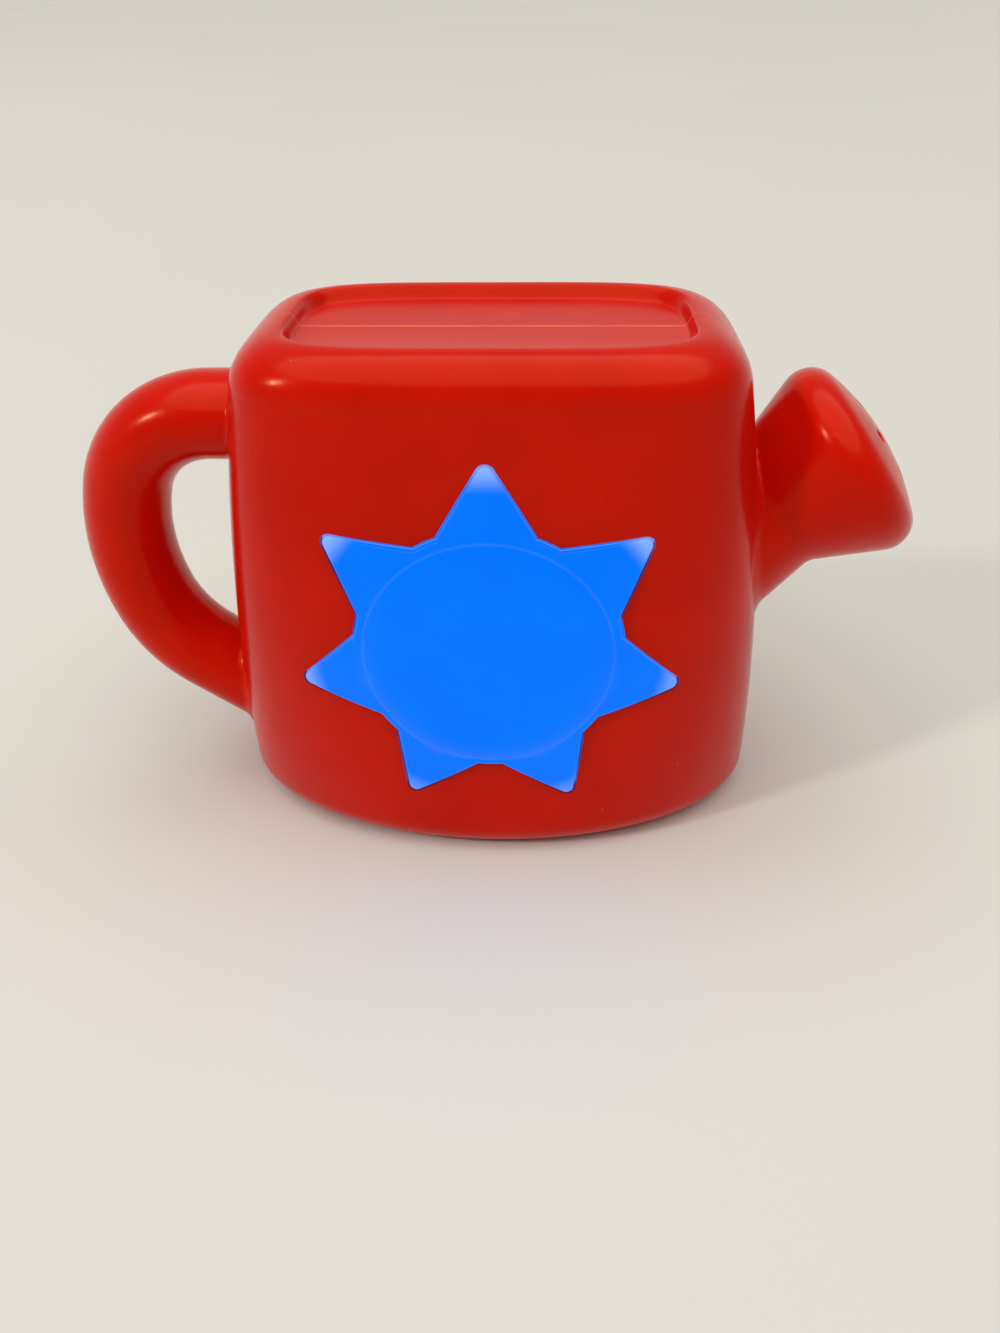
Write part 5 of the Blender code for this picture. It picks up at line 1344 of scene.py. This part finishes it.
def patches(tree, place, size, low=0.0, high=1.0, span=(0.3, 0.7), detail=2.0):
    """A value that drifts between two levels over patches of one size, in metres."""
    clouds = add(tree, "ShaderNodeTexNoise", {"Vector": place, "Scale": 1 / size, "Detail": detail})
    return add(tree, "ShaderNodeMapRange", {
        "Value": clouds, "From Min": span[0], "From Max": span[1], "To Min": low, "To Max": high})


def toned(shade, factor):
    """A colour made darker or paler by a factor."""
    return [min(share * factor, 1) for share in shade]


def moulded_red():
    """Injection-moulded ABS: satin skin with a faint mottle, pale scuffs, and a flash ridge where the halves
    meet, painted paler along it as its highlight.
    """
    colours = bpy.context.scene.finishes
    material, tree, place = new_material("moulded_red_abs")
    mottle = patches(tree, place, 14 * MM, span=(0.35, 0.65))
    body = add(tree, "ShaderNodeMix", {SHARE: mottle, UNDER: colours.red_deep, OVER: colours.red},
               data_type="RGBA")
    # The flash is a thin wandering line: a bumped ridge, painted paler as the highlight on that ridge, and
    # most of it is trimmed off past the sunk top
    axes = add(tree, "ShaderNodeSeparateXYZ", {0: place})
    past = add(tree, "ShaderNodeMath", {0: axes.outputs["Y"], 1: MIDDLE.y}, operation="SUBTRACT")
    off = add(tree, "ShaderNodeMath", {0: past}, operation="ABSOLUTE")
    near = add(tree, "ShaderNodeMapRange", {
        "Value": off, "From Min": 0.25 * MM, "From Max": 0.5 * MM, "To Min": 1, "To Max": 0})
    across = add(tree, "ShaderNodeMath", {0: axes.outputs["X"], 1: MIDDLE.x}, operation="SUBTRACT")
    aside = add(tree, "ShaderNodeMath", {0: across}, operation="ABSOLUTE")
    trimmed = add(tree, "ShaderNodeMapRange", {
        "Value": aside, "From Min": 26 * MM, "From Max": 32 * MM, "To Min": 1, "To Max": 0.25})
    wander = patches(tree, place, 6 * MM, low=0.6)
    kept = add(tree, "ShaderNodeMath", {0: trimmed, 1: wander}, operation="MULTIPLY")
    line = add(tree, "ShaderNodeMath", {0: near, 1: kept}, operation="MULTIPLY")
    flash_highlighted = add(tree, "ShaderNodeMix", {SHARE: line, UNDER: body.outputs[MIXED], OVER: colours.seam},
                  data_type="RGBA")
    # Scuffs are faint dots in a few worn zones, and rougher than the skin
    cells = add(tree, "ShaderNodeTexVoronoi", {"Vector": place, "Scale": 1 / (4 * MM)})
    spots = add(tree, "ShaderNodeMapRange", {
        "Value": cells, "From Min": 0.02, "From Max": 0.06, "To Min": 0.3, "To Max": 0})
    zones = patches(tree, place, 21 * MM, span=(0.6, 0.66), detail=0)
    marks = add(tree, "ShaderNodeMath", {0: spots, 1: zones}, operation="MULTIPLY")
    scuffed = add(tree, "ShaderNodeMix", {SHARE: marks, UNDER: flash_highlighted.outputs[MIXED], OVER: colours.scuff},
                  data_type="RGBA")
    satin = patches(tree, place, 1.1 * MM, 0.17, 0.24, detail=4)
    worn = add(tree, "ShaderNodeMath", {0: marks, 1: 0.3, 2: satin}, operation="MULTIPLY_ADD")
    grain = add(tree, "ShaderNodeTexNoise", {"Vector": place, "Scale": 1 / (0.6 * MM), "Detail": 3})
    relief = add(tree, "ShaderNodeMath", {0: grain, 1: 0.6, 2: line}, operation="MULTIPLY_ADD")
    bump = add(tree, "ShaderNodeBump", {"Height": relief, "Distance": 0.03 * MM, "Strength": 0.2})
    shader = add(tree, "ShaderNodeBsdfPrincipled", {
        "Base Color": scuffed.outputs[MIXED], "Roughness": worn, "Normal": bump, "IOR": 1.53,
        "Specular IOR Level": 0.2, "Specular Tint": colours.red_gloss})
    add(tree, "ShaderNodeOutputMaterial", {"Surface": shader})
    return material


def lit_star():
    """Translucent polystyrene lit from behind: saturated blue, with painted highlights on the tips, the edges
    and the disc's step.
    """
    colours = bpy.context.scene.finishes
    star = sizes("star")
    material, tree, place = new_material("lit_blue_polystyrene")
    flat = add(tree, "ShaderNodeVectorMath", {0: place, 1: (1, 0, 1)}, operation="MULTIPLY")
    middle = (MIDDLE.x, 0, star_middle())
    reach = add(tree, "ShaderNodeVectorMath", {0: flat, 1: middle}, operation="DISTANCE").outputs["Value"]
    # Painted highlight on the tips, palest on the upper tips as if lit from above
    height = add(tree, "ShaderNodeSeparateXYZ", {0: place}).outputs["Z"]
    highlight_peak = add(tree, "ShaderNodeMapRange", {
        "Value": height, "From Min": star_middle() - star.tip, "From Max": star_middle() + star.tip / 2,
        "To Min": 0.2, "To Max": 0.45})
    tip = add(tree, "ShaderNodeMapRange", {
        "Value": reach, "From Min": 0.87 * star.tip, "From Max": 0.99 * star.tip, "To Max": highlight_peak},
        interpolation_type="SMOOTHSTEP")
    # Painted highlights: a faint pale line on the disc's step, and the rim line on the edge where the star
    # leaves its opening
    past = add(tree, "ShaderNodeMath", {0: reach, 1: star.crown_radius}, operation="SUBTRACT")
    off = add(tree, "ShaderNodeMath", {0: past}, operation="ABSOLUTE")
    ring = add(tree, "ShaderNodeMapRange", {
        "Value": off, "From Min": 0.05 * MM, "From Max": 0.3 * MM, "To Min": 0.03, "To Max": 0})
    rim = add(tree, "ShaderNodeAttribute", attribute_name="rim").outputs["Fac"]
    edge_highlights = add(tree, "ShaderNodeMath", {0: rim, 1: ring}, operation="MAXIMUM")
    pale = add(tree, "ShaderNodeMath", {0: tip, 1: edge_highlights}, operation="MAXIMUM")
    base = add(tree, "ShaderNodeMix", {SHARE: pale, UNDER: colours.star, OVER: colours.star_tip_highlight},
               data_type="RGBA")
    even = patches(tree, place, 12 * MM, low=0.6)
    glow = add(tree, "ShaderNodeMix", {SHARE: even, UNDER: colours.star_shade, OVER: colours.star_glow},
               data_type="RGBA")
    light = add(tree, "ShaderNodeMix", {SHARE: pale, UNDER: glow.outputs[MIXED], OVER: colours.star_tip_highlight},
                data_type="RGBA")
    gloss = patches(tree, place, 1.5 * MM, 0.2, 0.28, detail=3)
    grain = add(tree, "ShaderNodeTexNoise", {"Vector": place, "Scale": 1 / (0.8 * MM), "Detail": 3})
    bump = add(tree, "ShaderNodeBump", {"Height": grain, "Distance": 0.03 * MM, "Strength": 0.2})
    shader = add(tree, "ShaderNodeBsdfPrincipled", {
        "Base Color": base.outputs[MIXED], "Emission Color": light.outputs[MIXED], "Emission Strength": 0.82,
        "Roughness": gloss, "Normal": bump, "IOR": 1.59, "Specular IOR Level": 0.2,
        "Specular Tint": colours.star_gloss})
    add(tree, "ShaderNodeOutputMaterial", {"Surface": shader})
    return material


def satin_plastic(name, shade, gloss, patch=4 * MM):
    """Moulded plastic or rubber in one colour: a faint mottle and a fine satin grain."""
    material, tree, place = new_material(name)
    mottle = patches(tree, place, patch, span=(0.35, 0.65))
    body = add(tree, "ShaderNodeMix", {SHARE: mottle, UNDER: toned(shade, 0.88), OVER: shade},
               data_type="RGBA")
    satin = patches(tree, place, 0.9 * MM, gloss, gloss + 0.1, detail=3)
    grain = add(tree, "ShaderNodeTexNoise", {"Vector": place, "Scale": 1 / (0.5 * MM), "Detail": 3})
    bump = add(tree, "ShaderNodeBump", {"Height": grain, "Distance": 0.03 * MM, "Strength": 0.3})
    shader = add(tree, "ShaderNodeBsdfPrincipled", {
        "Base Color": body.outputs[MIXED], "Roughness": satin, "Normal": bump})
    add(tree, "ShaderNodeOutputMaterial", {"Surface": shader})
    return material


def drawn_steel(name, shade, gloss, along):
    """Zinc-plated or spring steel: bright, with fine drawing marks along one axis and cloudy plating."""
    material, tree, place = new_material(name)
    stretch = [0.12 if axis == along else 1.0 for axis in range(3)]
    lined = add(tree, "ShaderNodeMapping", {"Vector": place, "Scale": stretch})
    marks = add(tree, "ShaderNodeTexNoise", {"Vector": lined, "Scale": 1 / (0.35 * MM), "Detail": 4})
    patchy = patches(tree, place, 2.2 * MM)
    plating = add(tree, "ShaderNodeMix", {SHARE: patchy, UNDER: toned(shade, 0.8), OVER: shade},
                  data_type="RGBA")
    drawn = add(tree, "ShaderNodeMapRange", {
        "Value": marks, "From Min": 0.3, "From Max": 0.7, "To Min": gloss, "To Max": gloss + 0.14})
    bump = add(tree, "ShaderNodeBump", {"Height": marks, "Distance": 0.02 * MM, "Strength": 0.25})
    shader = add(tree, "ShaderNodeBsdfPrincipled", {
        "Base Color": plating.outputs[MIXED], "Roughness": drawn, "Normal": bump, "Metallic": 1.0})
    add(tree, "ShaderNodeOutputMaterial", {"Surface": shader})
    return material


def board_laminate():
    """Glass-fibre board under green solder mask: paler over the copper tracks, with a fine weave."""
    green = bpy.context.scene.finishes.laminate
    material, tree, place = new_material("glass_fibre_board")
    flat = add(tree, "ShaderNodeMapping", {"Vector": place, "Rotation": (math.pi / 2, 0, 0)})
    tracks = add(tree, "ShaderNodeTexBrick", {
        "Vector": flat, "Scale": 1 / (4 * MM), "Mortar Size": 0.07, "Mortar Smooth": 0.2, "Brick Width": 0.9,
        "Row Height": 0.35}).outputs["Fac"]
    mask = add(tree, "ShaderNodeMix", {SHARE: tracks, UNDER: green, OVER: toned(green, 1.7)},
               data_type="RGBA")
    weave = add(tree, "ShaderNodeTexWave", {"Vector": flat, "Scale": 1 / (1.2 * MM), "Distortion": 0.6})
    faint = add(tree, "ShaderNodeMath", {0: weave.outputs["Fac"], 1: 0.12}, operation="MULTIPLY")
    woven = add(tree, "ShaderNodeMix", {SHARE: faint, UNDER: mask.outputs[MIXED], OVER: toned(green, 0.4)},
                data_type="RGBA")
    gloss = patches(tree, place, 2 * MM, 0.25, 0.38)
    bump = add(tree, "ShaderNodeBump", {"Height": tracks, "Distance": 0.05 * MM, "Strength": 0.5})
    shader = add(tree, "ShaderNodeBsdfPrincipled", {
        "Base Color": woven.outputs[MIXED], "Roughness": gloss, "Normal": bump})
    add(tree, "ShaderNodeOutputMaterial", {"Surface": shader})
    return material


def lamp_epoxy():
    """Water-clear epoxy of a lamp: clear with faint flow lines, glowing with the star's light."""
    colours = bpy.context.scene.finishes
    material, tree, place = new_material("clear_lamp_epoxy")
    flow = patches(tree, place, 1.4 * MM, detail=3)
    body = add(tree, "ShaderNodeMix", {SHARE: flow, UNDER: toned(colours.lens, 0.92), OVER: colours.lens},
               data_type="RGBA")
    light = add(tree, "ShaderNodeMix", {SHARE: flow, UNDER: colours.lens, OVER: colours.star_glow},
                data_type="RGBA")
    gloss = add(tree, "ShaderNodeMapRange", {"Value": flow, "To Min": 0.04, "To Max": 0.09})
    shader = add(tree, "ShaderNodeBsdfPrincipled", {
        "Base Color": body.outputs[MIXED], "Emission Color": light.outputs[MIXED], "Emission Strength": 0.6,
        "Roughness": gloss, "Transmission Weight": 0.85, "IOR": 1.54})
    add(tree, "ShaderNodeOutputMaterial", {"Surface": shader})
    return material


def pressed_paper():
    """Pressed paper of the speaker cone: matt, with loose dark and pale fibres."""
    paper = bpy.context.scene.finishes.paper
    material, tree, place = new_material("pressed_cone_paper")
    fibres = add(tree, "ShaderNodeTexNoise", {"Vector": place, "Scale": 1 / (0.7 * MM), "Detail": 6})
    pale = add(tree, "ShaderNodeMapRange", {"Value": fibres, "From Min": 0.35, "From Max": 0.7})
    body = add(tree, "ShaderNodeMix", {SHARE: pale, UNDER: paper, OVER: toned(paper, 2.2)}, data_type="RGBA")
    matt = add(tree, "ShaderNodeMapRange", {
        "Value": fibres, "From Min": 0.3, "From Max": 0.7, "To Min": 0.8, "To Max": 0.95})
    bump = add(tree, "ShaderNodeBump", {"Height": fibres, "Distance": 0.12 * MM, "Strength": 0.5})
    shader = add(tree, "ShaderNodeBsdfPrincipled", {
        "Base Color": body.outputs[MIXED], "Roughness": matt, "Normal": bump})
    add(tree, "ShaderNodeOutputMaterial", {"Surface": shader})
    return material


def cell_sleeve():
    """Plain lacquered jacket of a cell: dark and satin, with bare bright steel at both ends."""
    colours = bpy.context.scene.finishes
    material, tree, place = new_material("plain_cell_jacket")
    band = add(tree, "ShaderNodeAttribute", attribute_name="band").outputs["Fac"]
    mottle = patches(tree, place, 4 * MM)
    jacket = add(tree, "ShaderNodeMix", {SHARE: mottle, UNDER: toned(colours.cell, 0.85), OVER: colours.cell},
                 data_type="RGBA")
    body = add(tree, "ShaderNodeMix", {SHARE: band, UNDER: jacket.outputs[MIXED], OVER: colours.steel},
               data_type="RGBA")
    specks = add(tree, "ShaderNodeTexNoise", {"Vector": place, "Scale": 1 / (1.2 * MM), "Detail": 3})
    gloss = add(tree, "ShaderNodeMapRange", {
        "Value": specks, "From Min": 0.3, "From Max": 0.7, "To Min": 0.26, "To Max": 0.4})
    bump = add(tree, "ShaderNodeBump", {"Height": specks, "Distance": 0.02 * MM, "Strength": 0.2})
    shader = add(tree, "ShaderNodeBsdfPrincipled", {
        "Base Color": body.outputs[MIXED], "Metallic": band, "Roughness": gloss, "Normal": bump})
    add(tree, "ShaderNodeOutputMaterial", {"Surface": shader})
    return material


def stage_floor():
    """Matt painted board: pale, with a slow change of tone."""
    pale = bpy.context.scene.stage_settings.floor
    material, tree, place = new_material("pale_painted_floor")
    tone = patches(tree, place, 500 * MM)
    paint = add(tree, "ShaderNodeMix", {SHARE: tone, UNDER: toned(pale, 0.97), OVER: pale}, data_type="RGBA")
    shader = add(tree, "ShaderNodeBsdfPrincipled", {
        "Base Color": paint.outputs[MIXED], "Roughness": 0.9, "Specular IOR Level": 0.2})
    add(tree, "ShaderNodeOutputMaterial", {"Surface": shader})
    return material


def set_values(mesh, name, values):
    """Keeps one number for each point of a mesh."""
    mesh.attributes.new(name, "FLOAT", "POINT").data.foreach_set("value", values)


class WATERING_CAN_OT_shells(bpy.types.Operator):
    """Front and rear mouldings with handle, neck and rose"""

    bl_idname = "watering_can.shells"
    bl_label = "Shells"

    def execute(self, context):
        form = cut(can_form(0), rose_dimples())
        red = moulded_red()
        finish_piece(front_half(form), "front_moulding", "can", red, ["front_shell"])
        finish_piece(rear_half(form), "rear_moulding", "can", red, ["rear_shell"])
        bpy.data.objects.remove(form)
        return {"FINISHED"}


class WATERING_CAN_OT_star(bpy.types.Operator):
    """Star button with its hidden flange, guide posts and pusher"""

    bl_idname = "watering_can.star"
    bl_label = "Star button"

    def execute(self, context):
        star = sizes("star")
        body = cut(join(star_cap(), star_flange()), star_hollow())
        middle = star_middle()
        ends = depths_of("star_button")[1]
        count = len(nodes_of("button_spring"))
        posts = []
        for number in range(count):
            x, z = around(star.post_circle, -math.pi / 2 + 2 * math.pi * number / count)
            posts.append(post(x, middle + z, star.post, star_front(x, z) + star.skin / 2, ends))
        dome = depths_of("switch_dome")[0] - sizes("can").clearance
        posts.append(post(0, middle, star.pusher, star_front(0, 0) + star.skin / 2, dome))
        join(body, *posts)
        finish_piece(body, "star_cap", "star", lit_star(), ["star_button"], sharp=50)
        # Painted highlight along the star's edge where it leaves its opening, kept for each point in the rim
        # attribute
        highlight_peak = 0.5
        rim_highlights = []
        for vertex in body.data.vertices:
            spot = vertex.co - MIDDLE
            level = max(star_front(spot.x, spot.z - middle) + star.edge, -wall_depth(spot.x, spot.z, 0))
            rim_highlights.append(highlight_peak * max(0, 1 - abs(spot.y - level - star.glint) / star.glint))
        set_values(body.data, "rim", rim_highlights)
        return {"FINISHED"}


class WATERING_CAN_OT_battery_door(bpy.types.Operator):
    """Battery door at the back"""

    bl_idname = "watering_can.battery_door"
    bl_label = "Battery door"

    def execute(self, context):
        red = bpy.data.materials["moulded_red_abs"]
        finish_piece(door_body(), "battery_door_cover", "battery_door", red, ["battery_door"])
        return {"FINISHED"}


class WATERING_CAN_OT_power_knob(bpy.types.Operator):
    """Sliding power knob at the back"""

    bl_idname = "watering_can.power_knob"
    bl_label = "Power knob"

    def execute(self, context):
        black = satin_plastic("black_knob_abs", context.scene.finishes.black, 0.38)
        finish_piece(knob_body(), "power_slider", "power_knob", black, ["power_knob"])
        return {"FINISHED"}


class WATERING_CAN_OT_screws(bpy.types.Operator):
    """Screws that show at the back"""

    bl_idname = "watering_can.screws"
    bl_label = "Screws"

    def execute(self, context):
        inner = sizes("inner")
        steel = drawn_steel("zinc_plated_screw_steel", context.scene.finishes.steel, 0.22, 1)
        groups = [
            ("shell_screws", "can", nodes_of("shell_screw"),
             inner.screw_head, inner.screw_head_height, inner.screw_shank),
            ("door_screw_head", "battery_door", ["door_screw"],
             inner.small_head, inner.small_head_height, inner.small_shank),
        ]
        tree = screw_tree()
        for name, place, nodes, head, height, shank in groups:
            points = []
            for node in nodes:
                x, z = place_of(node)
                points.append((x, depths_of(node)[1] - height, z))
            front, back = depths_of(nodes[0])
            body = run_tree(tree, points, {
                "Head radius": head,
                "Head height": height,
                "Shank radius": shank,
                "Shank length": back - front - height,
            }, steel)
            finish_piece(body, name, place, steel, nodes, sharp=30)
        return {"FINISHED"}


class WATERING_CAN_OT_cells(bpy.types.Operator):
    """Cells and their contact springs, seen with the battery door off"""

    bl_idname = "watering_can.cells"
    bl_label = "Cells and springs"

    def execute(self, context):
        inner = sizes("inner")
        jacket = cell_sleeve()
        wire = drawn_steel("bright_spring_wire", context.scene.finishes.steel, 0.18, 0)
        for number, side in ((1, 1), (2, -1)):
            node = f"battery_{number}"
            low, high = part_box(node)
            body = cell_body(node, side)
            finish_piece(body, f"cell_{number}", "can", jacket, [node], sharp=40)
            flat = low.x if side > 0 else high.x
            bands = []
            for vertex in body.data.vertices:
                along = abs(vertex.co.x - flat)
                from_end = min(along, inner.cell_length - inner.cell_nub - along)
                bands.append(1.0 if from_end < inner.cell_bare else 0.0)
            set_values(body.data, "band", bands)
            spring = f"battery_spring_{number}"
            coil = coil_body(spring, 0, side, inner.contact_taper, inner.contact_wire, wire)
            finish_piece(coil, f"contact_coil_{number}", "can", wire, [spring], sharp=60)
        return {"FINISHED"}


class WATERING_CAN_OT_button_return(bpy.types.Operator):
    """Springs and rubber dome under the star, each with a mesh of its own"""

    bl_idname = "watering_can.button_return"
    bl_label = "Button springs and dome"

    def execute(self, context):
        inner = sizes("inner")
        wire = bpy.data.materials["bright_spring_wire"]
        rubber = satin_plastic("grey_silicone_rubber", context.scene.finishes.rubber, 0.7, 1.5 * MM)
        dome = dome_body()
        finish_piece(dome, "rubber_dome", "can", rubber, ["switch_dome"], sharp=60)
        soft = {"switch_dome": dome}
        straight = 1.0
        for number, node in enumerate(nodes_of("button_spring"), 1):
            coil = coil_body(node, 1, -1, straight, inner.return_wire, wire)
            finish_piece(coil, f"return_coil_{number}", "can", wire, [node], sharp=60)
            soft[node] = coil
        for node, piece in soft.items():
            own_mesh(piece)
        return {"FINISHED"}


class WATERING_CAN_OT_inner_parts(bpy.types.Operator):
    """Finishes of the parts inside, which keep their solids"""

    bl_idname = "watering_can.inner_parts"
    bl_label = "Inner parts"

    def execute(self, context):
        colours = context.scene.finishes
        finishes = {
            "white_plastic": satin_plastic("white_carrier_abs", colours.white, 0.4),
            "board_laminate": board_laminate(),
            "clear_epoxy": lamp_epoxy(),
            "black_plastic": satin_plastic("black_chip_resin", colours.black, 0.45, 1.5 * MM),
            "capacitor_sleeve": satin_plastic("shrunk_capacitor_sleeve", colours.sleeve, 0.3, 2 * MM),
            "plated_steel": drawn_steel("bright_plated_sheet", colours.steel, 0.2, 2),
            "screw_steel": bpy.data.materials["zinc_plated_screw_steel"],
            "speaker_paper": pressed_paper(),
            "ferrite": satin_plastic("sintered_ferrite", colours.ferrite, 0.6, 1.2 * MM),
            "clamp_plastic": satin_plastic("natural_clamp_nylon", colours.white, 0.48),
            "black_wire": satin_plastic("black_wire_pvc", colours.black_wire, 0.45, 1 * MM),
            "red_wire": satin_plastic("red_wire_pvc", colours.red_wire, 0.45, 1 * MM),
        }
        for entry in frame["record"]["subparts"]:
            piece = frame["nodes"][entry["node"]]
            if not piece.hide_render:
                piece.data.materials.clear()
                piece.data.materials.append(finishes[entry["material_slot"]])
        return {"FINISHED"}


class WATERING_CAN_OT_stage(bpy.types.Operator):
    """Floor, light and camera"""

    bl_idname = "watering_can.stage"
    bl_label = "Stage"

    def execute(self, context):
        settings = context.scene.stage_settings
        step = 2 * math.pi / FLOOR_SIDES
        corners = [around(settings.floor_reach, turn * step) for turn in range(FLOOR_SIDES)]
        ring = [(x, y, -settings.floor_drop) for x, y in corners]
        floor = new_object("floor", ring, [range(FLOOR_SIDES)])
        floor.data.materials.append(stage_floor())
        world = bpy.data.worlds.new("studio_air")
        world.use_nodes = True
        tree = world.node_tree
        tree.nodes.clear()
        rays = add(tree, "ShaderNodeLightPath").outputs
        mirrored = add(tree, "ShaderNodeMath", {0: rays["Is Glossy Ray"], 1: rays["Is Transmission Ray"]},
                       operation="MAXIMUM")
        seen = add(tree, "ShaderNodeMath", {0: rays["Is Camera Ray"], 1: mirrored}, operation="MAXIMUM")
        light = add(tree, "ShaderNodeBackground", {"Color": settings.fill_tint, "Strength": settings.fill})
        way = add(tree, "ShaderNodeTexCoord").outputs["Generated"]
        height = add(tree, "ShaderNodeSeparateXYZ", {0: way}).outputs["Z"]
        climb = add(tree, "ShaderNodeMapRange", {
            "Value": height, "From Min": settings.backdrop_top, "From Max": settings.ceiling_foot},
            interpolation_type="SMOOTHSTEP")
        air = add(tree, "ShaderNodeMix", {SHARE: climb, UNDER: settings.backdrop, OVER: settings.ceiling},
                  data_type="RGBA")
        shown = add(tree, "ShaderNodeBackground", {"Color": air.outputs[MIXED], "Strength": 1})
        choice = add(tree, "ShaderNodeMixShader", {0: seen, 1: light, 2: shown})
        add(tree, "ShaderNodeOutputWorld", {"Surface": choice})
        context.scene.world = world
        key = bpy.data.lights.new("overhead_sky", "SUN")
        key.energy = settings.key
        key.angle = settings.key_spread
        window = bpy.data.lights.new("side_window", "AREA")
        window.energy = settings.window
        window.shape = "RECTANGLE"
        window.size = settings.window_width
        window.size_y = settings.window_height
        for lamp, spot in ((key, settings.key_place), (window, settings.window_place)):
            holder = bpy.data.objects.new(lamp.name, lamp)
            holder.location = spot
            aim = Vector(settings.target) - holder.location
            holder.rotation_euler = aim.to_track_quat("-Z", "Y").to_euler()
            context.scene.collection.objects.link(holder)
        lens = bpy.data.cameras.new("view")
        lens.lens = settings.lens
        lens.sensor_width = settings.sensor
        lens.clip_start = settings.near
        camera = bpy.data.objects.new("view", lens)
        aim = Vector(settings.aim).normalized()
        side = aim.cross(Vector(settings.up)).normalized()
        turn = Matrix((side, side.cross(aim), -aim)).transposed().to_4x4()
        turn.translation = MIDDLE + Vector(settings.camera)
        camera.matrix_world = turn
        context.scene.collection.objects.link(camera)
        context.scene.camera = camera
        context.scene.view_settings.view_transform = "Standard"
        return {"FINISHED"}


class WATERING_CAN_PT_pieces(bpy.types.Panel):
    """Lists the builders in the sidebar"""

    bl_idname = "WATERING_CAN_PT_pieces"
    bl_label = "Watering can"
    bl_space_type = "VIEW_3D"
    bl_region_type = "UI"
    bl_category = "Watering can"

    def draw(self, context):
        for builder in BUILDERS:
            self.layout.operator(builder.bl_idname)


BUILDERS = [
    WATERING_CAN_OT_shells,
    WATERING_CAN_OT_star,
    WATERING_CAN_OT_battery_door,
    WATERING_CAN_OT_power_knob,
    WATERING_CAN_OT_screws,
    WATERING_CAN_OT_cells,
    WATERING_CAN_OT_button_return,
    WATERING_CAN_OT_inner_parts,
    WATERING_CAN_OT_stage,
]
GROUPS = {
    "can_sizes": CanSizes,
    "handle_sizes": HandleSizes,
    "rose_sizes": RoseSizes,
    "star_sizes": StarSizes,
    "inner_sizes": InnerSizes,
    "finishes": Finishes,
    "stage_settings": StageSettings,
}


def register():
    """Registers the size groups, the builders and the panel."""
    for name, group in GROUPS.items():
        bpy.utils.register_class(group)
        setattr(bpy.types.Scene, name, PointerProperty(type=group))
    for builder in BUILDERS + [WATERING_CAN_PT_pieces]:
        bpy.utils.register_class(builder)


def unregister():
    """Takes everything that register added away again."""
    for builder in [WATERING_CAN_PT_pieces] + BUILDERS[::-1]:
        bpy.utils.unregister_class(builder)
    for name, group in GROUPS.items():
        delattr(bpy.types.Scene, name)
        bpy.utils.unregister_class(group)


def main():
    """Builds every piece and the stage."""
    register()
    bpy.ops.watering_can.shells()
    bpy.ops.watering_can.star()
    bpy.ops.watering_can.battery_door()
    bpy.ops.watering_can.power_knob()
    bpy.ops.watering_can.screws()
    bpy.ops.watering_can.cells()
    bpy.ops.watering_can.button_return()
    bpy.ops.watering_can.inner_parts()
    bpy.ops.watering_can.stage()


if __name__ == "__main__":
    main()
